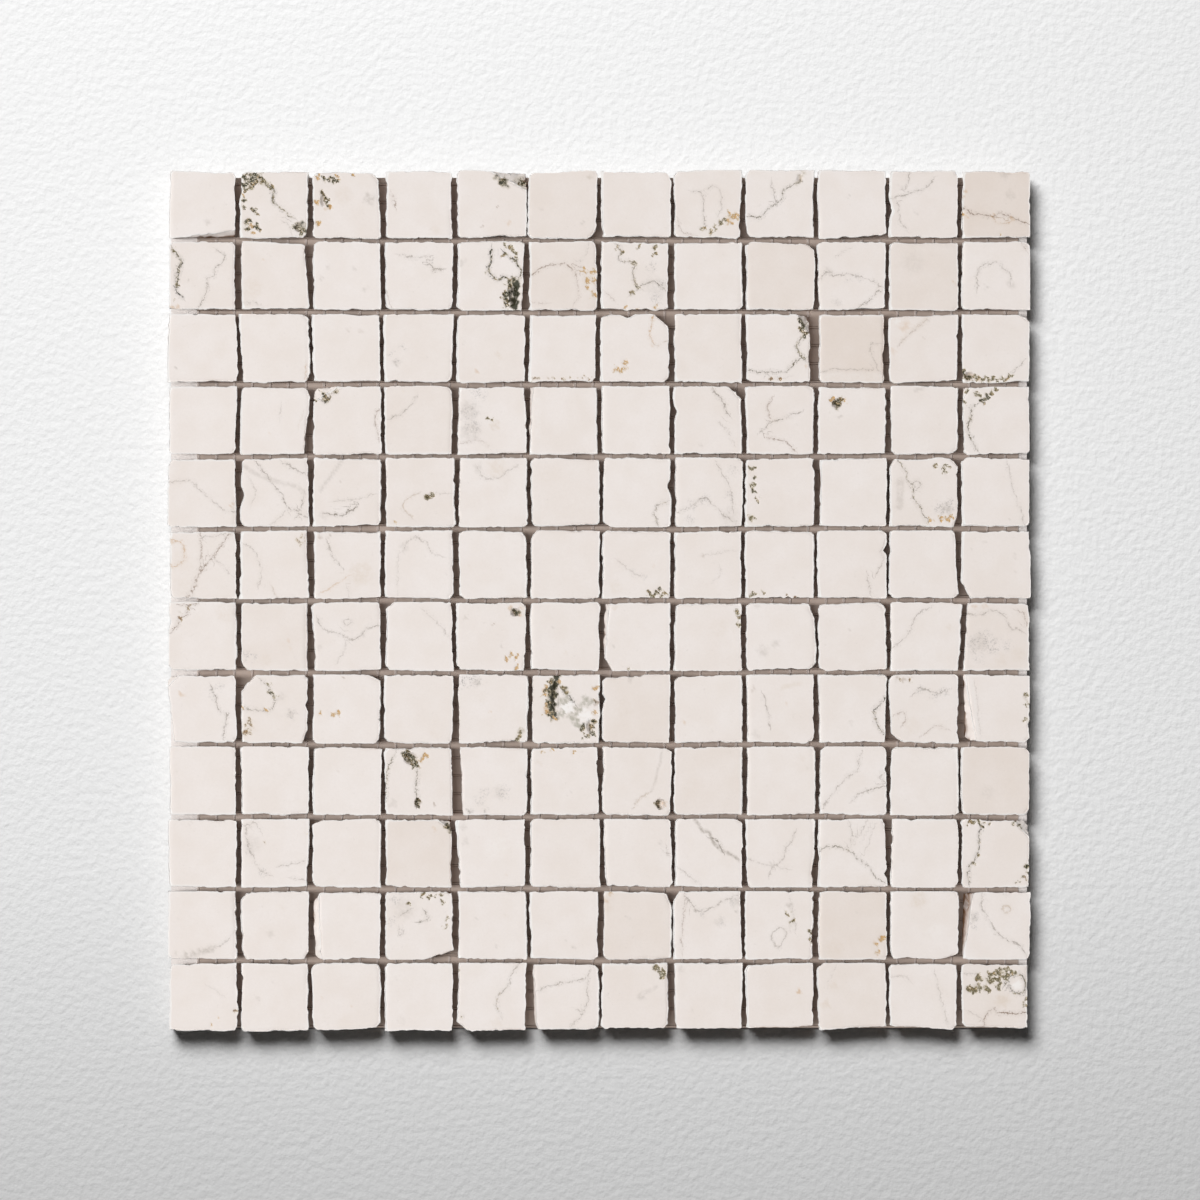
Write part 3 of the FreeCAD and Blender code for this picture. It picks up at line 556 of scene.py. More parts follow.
2 pores moss 1 1.2 -1.4,5.9
2 pores olive 0.7 1.3 -1.6,8.4 0.2,4.4
2 vein olive 0.45 0.35 -4.4,10 -2,8 -1.4,6 0,4.3 0,1.6 -2,-0.8 -5.4,-0.5 -8.8,-0.1 -11.5,0.2
2 pores brown 0.75 2.2 -8.8,-4.8 -9.6,-8
2 pores ochre 0.9 1 -11,0.4 -3,-0.6
2 pores grey 0.65 2 6.1,-1.8
2 stain grey 0.25 1.8 6,-1.6 2.4,4.2
2 stain sand 0.35 3 -9,-6
3 pores ochre 1 1.2 -9.2,-1.7 -4.3,-2 -2.9,-1.4
3 stain ochre 0.45 0.8 -9.2,-1.6 -4,-1.8
3 stain brown 0.6 0.5 -1.3,10.8
4 stain sand 0.25 1.5 5,-9
5 pores grey 1 2 -10,9.4 -7.6,9.9 -5.3,9.7
5 stain grey 0.3 1.8 -5,9.6
5 pores olive 0.8 1.7 10.4,-8.6 9.8,-10.4
5 stain olive 0.4 1.6 10.8,-7.6
5 stain ochre 0.35 0.5 -0.4,-1.2
5 stain sand 0.2 2.5 -3,4
6 stain moss 1.9 1.9 -2.6,11 -2.6,9.6 -3.6,7.4 -4.1,5.6 -3.8,3.6 -4,1.6 -3.9,-0.2 -3.2,-2.6
6 pores moss 1 1.6 -4.4,9.4 -5.4,6.4 -5,2 -4.4,-1.6 -2.8,5
6 pores ochre 1 1.2 -6.2,7.6 -6.6,5 -6,1 -6.2,-1.6 -3,-3.4 -1.2,9.6
6 stain ochre 0.7 1.3 -6.2,6.4 -5.8,-0.6
6 vein moss 0.8 0.35 -1.8,8.6 0.2,6.6 1.8,4.6 4.1,1.9
6 stain moss 1.3 1.1 1.2,6.4 0.4,7.2
6 pores olive 1 1.2 1.4,5.8 0,7.6
6 stain glass 1 1.8 8.3,3.4 9.3,2.2 6.8,1.6 5.3,0 4.4,-1.6 3,-3 4.8,-4.6 5.2,-5.6 -0.6,-1.6 1.4,3.4 -1,2.2
6 stain white 1.4 3.1 1.8,0.6 8.1,-2.4
6 stain moss 1.6 0.9 7.4,-5.8 7,-6.9 10.4,-6.2 11,-4.6
6 pores moss 1 1.3 6.8,-6.8 9.8,-6.6 10.8,-4.4 11,-8.6 7.6,-9.6 9.4,-9
6 stain brown 1.2 1.4 11.6,2.6
6 pores moss 1 1.2 11.4,3
6 stain ochre 0.9 1 11.4,7.6
6 pores ochre 1 1.1 11.4,7.4 11,-1.2
7 stain grey 0.25 1.4 -1.8,10.4
7 stain sand 0.2 5 -4,0
8 stain ochre 0.5 0.6 -9.2,-4.6 -8,-4.8
8 stain grey 0.25 0.8 2,-8
9 vein grey 0.45 0.4 -5.6,4.6 -4.3,0.2 -3,-5.9
9 stain brown 0.35 1 -9,7
9 band sand 0.5 0.8 1.1,7.6 7.2,9
9 stain ochre 0.25 0.6 2.6,1.6
9 stain grey 0.15 2 -8,-9
10 crack moss 0.75 0.3 12.1,3.9 10.1,1.9 7.8,-1.1 8.4,-3.2 9.8,-6.9 12.1,-9.2
10 stain moss 0.5 0.5 7.8,-1.4 8.6,-3.6
10 stain grey 0.2 0.9 0,-5
11 vein grey 0.4 0.45 -3.2,5.6 -1.1,7.3 2.2,6.6 4.9,5.3 8.3,6.6
11 pores grey 0.7 1.6 -1.4,6.6 3.6,4.6 7,6
11 vein brown 0.35 0.4 -9.2,-1.8 -7.2,-1.1 -6.2,-3.2 -7,-5
11 stain brown 0.4 1 -9.6,10.8 -7.4,10.2 -5,10.6
11 pores brown 0.8 1.2 -8,10.4 -5,10.5
11 vein brown 0.22 0.4 0,-9 4,-6 8,-7
11 stain sand 0.25 4 -4,-6
12 pores olive 0.7 1.5 10.6,4.9 11.1,1.6 10.4,-3.8
12 stain olive 0.25 1.2 10.8,3 10.6,-3.8
12 band white 0.4 0.6 -8.6,10 -7.4,2 -6.2,-9.6
12 vein grey 0.2 0.4 -7.4,9 -6.2,1 -5.4,-9
""", """
3 stain brown 0.25 0.6 -2.7,3.2
4 stain moss 1 1.1 -2.2,8 -3.2,6.8
4 pores moss 1 2.2 -2.6,7.9 -1.2,5.8 -4.4,9.4
4 pores ochre 1 1.4 1.1,7.8 2.4,9
4 stain ochre 0.35 1.3 1,8
4 vein olive 0.6 0.3 -0.9,5.5 -0.4,2.2 -0.9,-1.9 -0.7,-5.3
4 pores moss 1 1.5 -0.3,-6.8 -0.2,-8.6
4 stain olive 0.7 0.9 -0.3,-7.6
4 crack olive 0.6 0.3 -8.6,9 -10.7,4.9 -11.1,2.8 -11.4,-1.2 -11.7,-7.3
4 stain brown 0.6 0.6 5.6,-8.2
4 stain grey 0.2 2 -9,-8
5 pores grey 0.75 2.4 4.5,-3.9
5 pores grey 0.5 2 -2.2,-4.2 -4,-7
5 pores grey 1 1.1 -2.2,-10.3 -7.4,-10.5
5 stain grey 0.6 0.8 -2.2,-10.3 -7.4,-10.5
5 stain grey 0.15 3 3,-4
6 pores ochre 0.9 0.9 -7.4,10.3 -3.6,10.8 4,10.3
6 stain sand 0.4 1.2 -8.4,6.4
6 stain grey 0.2 0.7 2.6,-4.2
7 band grey 0.35 0.45 9.3,11 9,6.9 8,4.2 7.3,0.2 5.6,-3.6
7 vein sand 0.7 0.5 4.3,-4.6 2,-6 0.2,-8.3
7 stain moss 1 1.1 8,-7.6 8.2,-8.8
7 pores moss 1 1.7 8.2,-8
7 stain ochre 0.6 1.1 10.4,-8
8 stain sand 0.15 4 -6,-2
9 stain sand 0.3 1.5 7.6,8.4
9 stain grey 0.25 0.6 -4.6,-4
10 vein grey 0.35 0.35 3.4,9.6 2,4.2 -2,0.8 -6.1,-3.9 -9.5,-8.6
10 vein grey 0.5 0.4 0.7,-6.5 4,-3.9 8.1,-2.6 11.5,-1.9
10 vein grey 0.35 0.35 12,3 10.4,2.6 10,0.8 11.8,-0.4
12 stain grey 0.12 3 -3,-4
""", """
1 stain grey 0.3 0.6 -3.9,10.2
2 vein grey 0.35 0.5 -10.1,9.4 -9.5,4 -7.4,-2.1 -4.7,-6.1 -2,-7.5
2 vein grey 0.3 0.4 -10,9.6 -6.8,10.7 -5,8
2 pores brown 0.6 1.2 -3,3.3
2 pores grey 0.5 1.8 -9,1 -4,-7
2 vein grey 0.3 0.4 2,-4.5 8.8,-3.4 12.1,-1.4
2 vein grey 0.3 0.4 6.4,-8.8 10.1,-9.5
2 pores ochre 0.8 0.9 11.3,6.7
2 stain grey 0.15 4 -8,3
4 stain olive 0.9 1.4 10.3,9.4 11.2,8
4 pores moss 1 1.8 10.4,9.2
4 stain ochre 0.3 1 5.6,8.4
5 stain ochre 0.7 0.6 5.4,-7.5
5 stain grey 0.2 1.6 -9.7,9.2 -8.8,4
5 stain white 0.4 5 2,2
7 stain grey 0.25 0.9 9,3.8
7 vein grey 0.3 0.35 10.6,0.3 11.8,-0.6 11.2,2
8 band grey 0.9 0.5 -4.3,11.7 -2.6,9.4 -1.6,7.7 0.4,7.7 1.4,5.3 3.1,2.6 5.8,0.6 8.5,-0.4 11.2,-2.4
8 vein grey 0.8 0.45 1.4,5.3 3.8,4 4.8,2.6 5.4,1
8 vein grey 0.3 0.3 -9.7,-5.5 -3,-10.5
8 stain ochre 0.3 0.5 1.8,8.6
9 vein grey 0.5 0.35 5.5,6.7 4.5,4.3
9 vein grey 0.35 0.35 4.5,4.3 2.5,2 1.1,-2.8 -1.9,-4.5 -3.2,-7.5
9 vein grey 0.25 0.35 -10.3,-2.1 -6.3,-3.8 -1.6,-4.5 2.5,-5.5
9 stain grey 0.3 0.8 -3,-4.2
10 vein olive 0.5 0.4 -11.1,0.9 -8.8,2.3 -5.4,2.3 -0.7,0.9 2.7,-1.8 6.1,-5.1 8.8,-8.5 11.5,-10.2
10 stain moss 0.7 0.5 -0.9,0.9
10 vein grey 0.35 0.35 -0.7,10.7 0.3,7.4 1,4.7
10 vein grey 0.3 0.35 4.9,10.4 3.4,7 1,4.9
10 vein grey 0.25 0.35 -0.2,5.4 -0.4,2
10 vein grey 0.2 0.35 8,9 6,3.4 5,1
12 pores olive 1 1.1 -9.7,10.7 -8,11 -6,10.8 -2.3,10.6
12 pores moss 1 1.2 -4.6,9.8
12 crack moss 0.7 0.4 -5.3,8.7 -5.7,5.3 -6.3,0.6 -7.7,-2.8 -9,-4.1 -9.7,-6.8 -9.4,-10.2
12 pores olive 0.9 1.2 -6.6,-1 -8,-3.4 6.5,11
12 pores moss 1 1.2 8.5,9.8
12 stain olive 0.6 0.9 8.4,9.8
12 pores moss 1 1.1 11,-4.8 11,-6.6 9.9,-8.2 7.8,-10
12 pores brown 0.8 1.1 10.6,-9.2
12 stain moss 0.7 0.5 9.6,-8.4 11.1,-6.8
""", """
1 stain grey 0.45 1.6 -5.6,-10.7 -3.4,-10.2 -0.9,-9.4 1.4,-8.8 3.6,-8.2
1 stain grey 0.6 0.6 -10,-9.9
1 vein grey 0.3 0.4 5.6,-7.4 7.6,-6.6 10.6,-3
1 stain grey 0.25 0.5 -8.3,1.8
2 stain grey 0.2 1.6 -1.4,-3
2 stain sand 0.15 1.2 3,6
3 stain brown 0.4 0.5 -9.2,-9.6
3 band white 0.5 0.6 -10.6,-1 -9.4,-8.4
4 pores olive 1 1.2 1.3,10.7 3.8,10 5.6,10.4 7.8,10.6 8.5,8
4 pores olive 1 0.9 -3.6,7.5
4 vein olive 0.6 0.3 2.4,4.8 3.5,3.1 1.8,1.4 0.4,1.1
4 vein olive 0.35 0.3 -3.6,5.1 -6.3,3.4
4 pores grey 0.7 1.6 -6.3,10.6 -8.4,9 -9.4,1.6
4 vein grey 0.35 0.35 -7,-1.6 -6.8,-3.2 -5.6,-3 -5.6,-1.8
4 pores olive 0.7 1.3 9.3,-0.6 9.8,2
4 stain grey 0.15 5 -5,6
5 stain grey 0.25 0.9 2,-7.6 -5.4,2
5 stain sand 0.15 2 6,3
6 stain grey 0.35 0.7 3.7,-7.4
6 stain grey 0.2 0.7 1.4,-5.6
7 stain ochre 0.45 1.2 -8.9,10.8 -10.2,9
7 pores ochre 0.9 1 -8.8,11
7 stain sand 0.4 2.5 -10,6
7 stain grey 0.25 0.8 -2.5,2.8
8 vein brown 0.3 0.35 -8,10.9 -8.2,4.5 -8.6,-0.9 -8.7,-9
8 vein grey 0.45 0.4 -7.9,10.4 -6.3,8.5 -4,5.3
8 vein grey 0.35 0.5 -3.6,5 -2.3,4.5 1.1,5.8 5.8,8.5 9.2,9.9
8 stain grey 0.9 0.5 -4,5
8 pores grey 0.6 1.7 -2,4.4 4.5,1.4 8.6,9
8 stain grey 0.22 2.2 4.5,1.2 9.6,8
8 stain grey 0.35 0.7 10.5,4.5
9 vein grey 0.3 0.6 -2.2,-2.3 0.5,-0.9 2.5,-3 1.1,-5.7 -0.2,-8 -2.2,-5.7 -2.4,-3
9 stain grey 0.3 1.6 4.6,0.8 3.4,7
9 pores olive 0.7 1.4 3,4.2 4.6,1.4
9 pores olive 0.9 1.3 11.3,-5.4 11.4,-2.4
9 vein grey 0.25 0.4 3.8,9 5,4 5.6,-1.4
10 pores ochre 1 1.2 8.4,-6.3 10.6,-5 9.1,-9.7 11.4,-4
10 stain ochre 0.45 0.8 8.4,-6 10.4,-5 9,-9.6
10 stain grey 0.3 0.6 1.4,4.5
10 stain sand 0.3 4 -6,-8
11 stain sand 0.6 3.6 -1.8,9
11 stain white 0.3 4 4,-2
12 vein grey 0.45 0.4 -4.5,11.2 -4.7,5.8 -2.6,2.4 -0.3,-1.6 3.8,-5 8.5,-7 10.5,-9.7
12 pores grey 0.75 2 -8,2.6 -8.6,0.4
12 vein sand 0.8 0.6 2.6,5 4.2,4.2 5.2,5.6 4.6,7 3,6.8 2.6,5.4
12 stain brown 0.45 0.9 -9.4,9.6 -9.8,7
12 stain grey 0.2 2.4 -8,3
12 pores grey 0.6 0.9 3.8,11.2
""", """
1 pores ochre 1 0.9 3.3,-9.2 6,-7.4
1 stain ochre 0.6 0.6 3.3,-9.2 5.9,-7
1 pores brown 0.9 0.8 11.8,-4.6
1 vein grey 0.15 0.3 2,4 7,0.6
2 stain grey 0.25 1 -5.7,-0.8
2 stain grey 0.12 0.8 -1,5
3 stain ochre 0.3 0.5 -8.9,-0.7 1.8,-3.8
3 stain sand 0.15 3 0,-8
4 stain grey 0.15 1 -8,7
4 stain grey 0.1 2 -6,-8
5 crack grey 0.5 0.3 9.6,11 7.2,8 6.5,4.6 3.8,1.6 2.2,-1.1 2.2,-3.8 3.5,-6.5
5 stain sand 0.25 2.5 2,-9
5 pores olive 0.6 1.1 -10.6,-7 -10.8,9.2
5 stain grey 0.2 1 -10.2,-6.4
6 vein grey 0.4 0.4 -8.1,2.6 -4,4.3 0.7,5.3 4,5.9 6.7,6.3
6 vein grey 0.4 0.35 9.4,9 8.6,4.9 8.9,-0.5 7.4,-5.2 3.4,-9.9
6 stain brown 0.3 0.6 6.2,6.8 -1.8,4.6
6 vein grey 0.25 0.3 5,-4.4 6.4,-5.2
7 pores olive 1 1.7 7.6,10.3 9.4,9 10,7.4
7 stain grey 0.3 1.4 8.4,9.6
7 stain grey 0.25 1.9 2.2,0.2
7 band grey 0.2 0.8 2.8,1.4 5.6,2.6 7.4,3.8
7 stain grey 0.3 0.6 -9.6,1.1
8 stain grey 0.2 1.8 -9,10
8 stain grey 0.2 0.8 -5.4,-4.6
9 stain ochre 0.7 0.6 6.4,3 6.8,2 7.2,1.4
10 stain sand 0.5 1.8 -6.1,4.3
10 stain sand 0.6 2.2 -9.1,-2.5
10 vein grey 0.15 0.35 -6,10 -8,5
11 vein grey 0.25 0.35 4.3,8.3 5.6,1.6 7.6,-5.9 8.4,-9.4
11 vein grey 0.25 0.35 -11.3,7.3 -7,7.6 -5,6
11 stain grey 0.2 1 8.6,-8.4
12 pores olive 1 1.9 -9,3 -7.6,2.6 -5.8,3.6 -6,7 -3,3 -1.6,8 -1.8,6
12 pores olive 1 1.8 1.4,9.2 4,9.6 1,6.6 1.2,4 6.4,8.6 3.6,7.4
12 pores moss 0.9 0.9 -6,2 -2.2,7
12 stain olive 0.25 2.4 -6.6,3.4 -2,6.6 2.6,8.4
12 crack moss 0.85 0.32 3.4,4.6 4.6,6.4 6.4,7.8 8.8,7.8 10.4,5.6 10.4,3 8.4,1.3 6,1.8 5.2,3.6
12 stain white 0.9 2.5 7.6,4.2
12 pores olive 0.8 1.3 10.8,-0.8 10.2,-2.8
12 vein brown 0.6 0.35 -4,-9.9 -4,-7.2 -0.6,-4.2 1.8,-5.5 10.5,-5.5
12 stain sand 0.7 3.2 2.4,-1
12 vein grey 0.35 0.35 -10.8,8.4 -7,8.4 -5,6.8
12 vein grey 0.25 0.35 -9.6,-5 -5,-7
"""]


def read_marks(blocks):
    """The marks of each stone, {(row, column): [(kind, tone, strength, size, point, point ...)]}."""
    marks = {}
    for row, block in enumerate(blocks, 1):
        for line in block.strip().splitlines():
            column, kind, tone, strength, size, *stroke = line.split()
            points = [tuple(float(number) for number in point.split(",")) for point in stroke]
            marks.setdefault((row, int(column)), []).append((kind, tone, float(strength), float(size), *points))
    return marks


MARKS = read_marks(MARKED_ROWS)
print("marked stones", len(MARKS), "marks", sum(len(marks) for marks in MARKS.values()))

# %% [markdown]
# A mark could be painted on an image, which is only as fine as its pixels. A distance stays sharp at any size:
# each point of the mesh learns how far it is from the nearest line and on which side, and how deep it lies in
# a patch of pits or in a stain. These numbers are stored on the mesh, where the material finds them.

# %% Turn a stroke into distances
def smooth_path(points, spacing=0.7):
    """A stroke's line through its given points, as a Catmull-Rom curve in short steps."""
    p = np.array(points, float)
    if len(p) == 1:
        return p
    ends = np.concatenate([[2 * p[0] - p[1]], p, [2 * p[-1] - p[-2]]])
    path = []
    for a, b, c, d in zip(ends, ends[1:], ends[2:], ends[3:]):
        count = max(1, int(np.linalg.norm(c - b) / spacing))
        t = (np.arange(count) / count)[:, None]
        path.append(0.5 * (2 * b + (c - a) * t + (2 * a - 5 * b + 4 * c - d) * t ** 2
                           + (3 * b - a - 3 * c + d) * t ** 3))
    return np.concatenate(path + [p[-1:]])


def signed_distance(xy, path):
    """Distances from points to a path, positive to the left of it."""
    if len(path) == 1:
        return np.linalg.norm(xy - path[0], axis=1)
    best = np.full(len(xy), 1e9)
    side = np.ones(len(xy))
    for a, b in zip(path, path[1:]):
        run = b - a
        t = np.clip(((xy - a) @ run) / max(run @ run, 1e-9), 0, 1)
        away = xy - (a + t[:, None] * run)
        distance = np.linalg.norm(away, axis=1)
        nearer = distance < best - 1e-9
        best = np.where(nearer, distance, best)
        turn = run[0] * away[:, 1] - run[1] * away[:, 0]
        side = np.where(nearer, np.where(turn < 0, -1.0, 1.0), side)
    return best * side


def wobble(xy):
    """Shift points by a smooth wave of half a millimetre, so that round patches come out ragged."""
    x, y = xy.T
    waves = [np.sin(2.1 * y + 1.3 * np.sin(1.7 * x)), np.sin(2.3 * x + 1.1 * np.sin(1.9 * y))]
    return xy + 0.45 * np.stack(waves, 1)


sample = smooth_path(MARKS[1, 2][3][4:])
print("a crack of the second stone has", len(sample), "points along its line")

# %% Lay the marks of one stone
TONES = {
    "grey": (0.34, 0.295, 0.245), "moss": (0.05, 0.048, 0.027), "olive": (0.16, 0.135, 0.075),
    "brown": (0.27, 0.17, 0.105), "ochre": (0.62, 0.38, 0.17), "sand": (0.76, 0.655, 0.56),
    "glass": (0.50, 0.47, 0.40), "white": (0.94, 0.90, 0.87)}
AMOUNTS = ("line_side", "line_near", "line_width", "line_strength", "pore", "stain", "dots")
COLOURS = ("line_tone", "pore_tone", "stain_tone")
VECTORS = COLOURS + ("pull",)
FAR_FROM_LINE = 20.0    # the distance of a point that no line comes near, in millimetres
NO_PATCH = 1e3          # the score of a point that no patch has reached
PATCH_TOP = 1.8         # a patch starts from this at its middle, and is cut off at 1
PATCH_SLOPE = 1.8       # so it reaches nothing at its own size
DOT_SLOPE = 1.4         # and drifts of dots reach a little further
PATCHES = {"pores": "pore", "stain": "stain"}
BESIDE_LINES = {"crack": ("pore", 0.6, 1.4), "band": ("stain", 0.8, 1.3)}    # channel, strength, width


def fall_off(near, reach, slope=PATCH_SLOPE):
    """How full a patch is: 1 round its middle, less towards its edge."""
    return np.clip(PATCH_TOP - slope * near / reach, 0, 1)


def lay_line(found, side, tone, strength, size):
    """Add a vein or a crack: where it is the nearest line, its values hold."""
    near = np.abs(side)
    closer = near < found["line_near"]
    found["line_tone"][closer] = TONES[tone]
    for name, value in zip(AMOUNTS, (side, near, size, strength)):
        found[name] = np.where(closer, value, found[name])


def lay_patch(found, channel, near, tone, strength, reach):
    """Add pores or a stain: the strongest amount holds, and the tone of the nearest patch."""
    found[channel] = np.maximum(found[channel], strength * fall_off(near, reach))
    score = near / reach
    closer = score < found[channel + "_score"]
    found[channel + "_score"] = np.where(closer, score, found[channel + "_score"])
    found[channel + "_tone"][closer] = TONES[tone]


def mark_channels(xy, marks):
    """The values of every channel at points given from the stone's centre."""
    ragged = wobble(xy)
    found = {name: np.zeros(len(xy)) for name in AMOUNTS}
    found.update({name: np.full((len(xy), 3), 0.5) for name in COLOURS})
    found.update({name: np.full(len(xy), FAR_FROM_LINE) for name in ("line_side", "line_near")})
    found.update({name: np.full(len(xy), NO_PATCH) for name in ("pore_score", "stain_score")})
    for kind, tone, strength, size, *points in marks:
        if kind in PATCHES:
            near = np.min([np.linalg.norm(ragged - point, axis=1) for point in points], axis=0)
            if kind == "pores" and tone == "grey":
                found["dots"] = np.maximum(found["dots"], strength * fall_off(near, size, DOT_SLOPE))
            else:
                lay_patch(found, PATCHES[kind], near, tone, strength, size)
            continue
        side = signed_distance(xy, smooth_path(points))
        if kind in ("vein", "crack"):
            lay_line(found, side, tone, strength, size)
        if kind in BESIDE_LINES:
            channel, share, widening = BESIDE_LINES[kind]
            lay_patch(found, channel, np.abs(side), tone, share * strength, widening * size)
    return {name: found[name] for name in AMOUNTS + COLOURS}


print("channels on each stone", len(AMOUNTS + COLOURS))

# %% [markdown]
# No two stones have quite the same tone, resin and dust have crept up their walls, and the walls round the
# sheet's outline are also painted darker as shade. These are more numbers at each point of the mesh, worked out
# from where it is. Then each row becomes one piece, as it is packed.

# %% Values for the stones and for their walls
TINTS = {(1, 6): 0.5, (1, 12): 1.0, (2, 5): 0.0, (2, 6): 0.6, (2, 9): 0.6, (2, 11): 0.65, (3, 10): 1.0,
         (4, 4): 0.35, (4, 7): 0.0, (5, 5): 0.0, (5, 10): 0.0, (6, 4): 0.0, (7, 2): 0.45, (7, 12): 0.45,
         (8, 7): 0.5, (9, 8): 0.45, (9, 10): 0.0, (9, 12): 0.7, (10, 4): 0.6, (10, 5): 0.0, (11, 3): 0.0,
         (11, 10): 0.8, (11, 7): 0.6, (12, 7): 0.4, (12, 9): 0.3, (12, 10): 0.45, (12, 12): 0.5}
MOST_TINT = 0.25         # for the stones that aren't named above
FINE_STEPS = 52          # mesh spacing of about 0.45 mm, on stones with open pits
PLAIN_STEPS = 32         # about 0.75 mm
PITTED = ("moss", "olive")
OUTLINE = 148.5          # walls further out than this can be the sheet's own
NET_LOW, NET_HIGH = (np.array(corner)[:2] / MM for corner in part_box("resin_coat"))


def steps_for(marks):
    """Fine spacing only where a stone has relief that needs it."""
    pitted = any(kind == "pores" and tone in PITTED for kind, tone, *rest in marks)
    return FINE_STEPS if pitted else PLAIN_STEPS


def rise(value, start, width):
    """Nothing up to the start, then more and more up to 1 over the width."""
    return np.clip((value - start) / width, 0, 1)


def resin_creep(stone, depth):
    """How far the resin that crept up the joints colours the walls: none outside the net."""
    inside = np.minimum(stone[:, :2] - NET_LOW, NET_HIGH - stone[:, :2]).min(1)
    return rise(inside, 0, 1.5) * rise(depth, 1.0, 3.0)


def outer_grime(stone, pull, depth):
    """How far dust and resin darken the walls on the sheet's outline below their bright upper edge, with
    painted shade added that keeps their bounced light off the board.
    """
    outer = rise(np.abs(stone[:, :2]), OUTLINE, 1)
    outward = rise(2 * pull[:, :2] * np.sign(stone[:, :2]), 0.6, 1)
    return (outer * outward).max(1) * rise(depth, 0.4, 1.2)


print("stones with a tint of their own", len(TINTS))

# %% Build the rows
def link(thing):
    """Put an object into the scene."""
    bpy.context.scene.collection.objects.link(thing)
    return thing


def add_piece(name, points=(), faces=(), finish=None):
    """A mesh object in the scene, from points in metres."""
    mesh = bpy.data.meshes.new(name)
    if len(points):
        mesh.from_pydata(points, [], faces)
    if finish:
        mesh.materials.append(finish)
    return link(bpy.data.objects.new(name, mesh))


def build_row(row, node):
    """One row of stones as one mesh, with its marks as attributes."""
    chance = random.Random(row)
    points, faces, start = [], [], 0
    values = {name: [] for name in AMOUNTS + VECTORS + ("depth", "seed", "tint", "creep", "grime")}
    for column, tree in enumerate(stones_of(node), 1):
        marks = MARKS.get((row, column), [])
        centre = stone_centre(row, column)
        flare = CLOSE_FLARE if (row, column) in CLOSE_STONES else FLARE
        stone, quads, rim, depth, pull = mesh_stone(tree, centre, steps_for(marks), flare)
        seed = 10 * row + 0.7 * column
        tint = TINTS.get((row, column), chance.uniform(0, MOST_TINT))
        of_stone = mark_channels(stone[:, :2] - centre, marks)
        of_stone.update(depth=depth, pull=pull, seed=np.full(len(stone), seed), tint=np.full(len(stone), tint),
                        creep=resin_creep(stone, depth), grime=outer_grime(stone, pull, depth))
        for name, value in of_stone.items():
            values[name].append(value)
        points.append(stone)
        faces += (quads + start).tolist()
        faces.append((rim + start).tolist())
        start += len(stone)
    piece = add_piece(f"stones_{row:02d}", np.concatenate(points) * MM, faces)
    for channel, parts in values.items():
        kind, field = ("FLOAT_VECTOR", "vector") if channel in VECTORS else ("FLOAT", "value")
        stored = piece.data.attributes.new(channel, kind, "POINT")
        stored.data.foreach_set(field, np.concatenate(parts).astype(np.float32).ravel())
    return piece


stone_rows = [build_row(row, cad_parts[name]) for row, name in enumerate(ROWS, 1)]
print("triangles of the stones", sum(sum(len(f.vertices) - 2 for f in o.data.polygons) for o in stone_rows))

# %% [markdown]
# Materials and geometry are both made by trees of nodes: each node does one small sum, and links carry the
# results on. Trees could be drawn by hand in Blender's editors. Here a few helpers write them down as a
# recipe, which can be read, changed and run again: one adds a node and fills its inputs, others do sums.

# %% Helpers for node trees
def fill(tree, node, inputs):
    """Give each named or numbered input of a node a value, or a link from a socket or a node's first output."""
    for key, value in inputs.items():
        if isinstance(value, bpy.types.Node):
            value = value.outputs[0]
        if isinstance(value, bpy.types.NodeSocket):
            tree.links.new(value, node.inputs[key])
        else:
            node.inputs[key].default_value = value
    return node


def add(tree, kind, inputs=None, **settings):
    """Add a node, set its settings and fill its inputs."""
    made = tree.nodes.new(kind)
    for name, value in settings.items():
        setattr(made, name, value)
    return fill(tree, made, inputs or {})


def calc(tree, operation, *terms, clamp=False):
    """The result of one sum."""
    made = add(tree, "ShaderNodeMath", dict(enumerate(terms)), operation=operation, use_clamp=clamp)
    return made.outputs[0]


def times(tree, first, *others):
    """The product of its terms, from left to right."""
    for other in others:
        first = calc(tree, "MULTIPLY", first, other)
    return first


def vector(tree, operation, *terms, **named):
    """The result of one sum with vectors."""
    made = add(tree, "ShaderNodeVectorMath", {**dict(enumerate(terms)), **named}, operation=operation)
    return made.outputs[0]


def component(tree, place, axis):
    """One part of a vector: 0, 1 or 2 for X, Y or Z."""
    return add(tree, "ShaderNodeSeparateXYZ", {0: place}).outputs[axis]


def ramp(tree, value, low, high, to_low=0.0, to_high=1.0):
    """A value stretched from one range to another and held inside it."""
    return add(tree, "ShaderNodeMapRange", {0: value, 1: low, 2: high, 3: to_low, 4: to_high}).outputs[0]


print("helpers for sums:", calc.__name__, times.__name__, vector.__name__, component.__name__, ramp.__name__)

# %% Helpers that read the mesh and make noise
def attribute(tree, name, output="Fac"):
    """What the mesh stores under a name, read in a material: a number, a Color or a Vector."""
    return add(tree, "ShaderNodeAttribute", attribute_name=name).outputs[output]


def scale(tree, size_mm):
    """The scale of a pattern with features of about that size, which is a number or a socket."""
    if isinstance(size_mm, bpy.types.NodeSocket):
        return calc(tree, "DIVIDE", 1 / MM, size_mm)
    return 1 / (size_mm * MM)


def object_place(tree):
    """Where a point of the piece is, in a material."""
    return add(tree, "ShaderNodeTexCoord").outputs["Object"]


def even_noise(tree, size_mm, detail):
    """Noise with features of about that size, all over a piece."""
    inputs = {"Vector": object_place(tree), "Scale": scale(tree, size_mm), "Detail": detail}
    return add(tree, "ShaderNodeTexNoise", inputs).outputs[0]


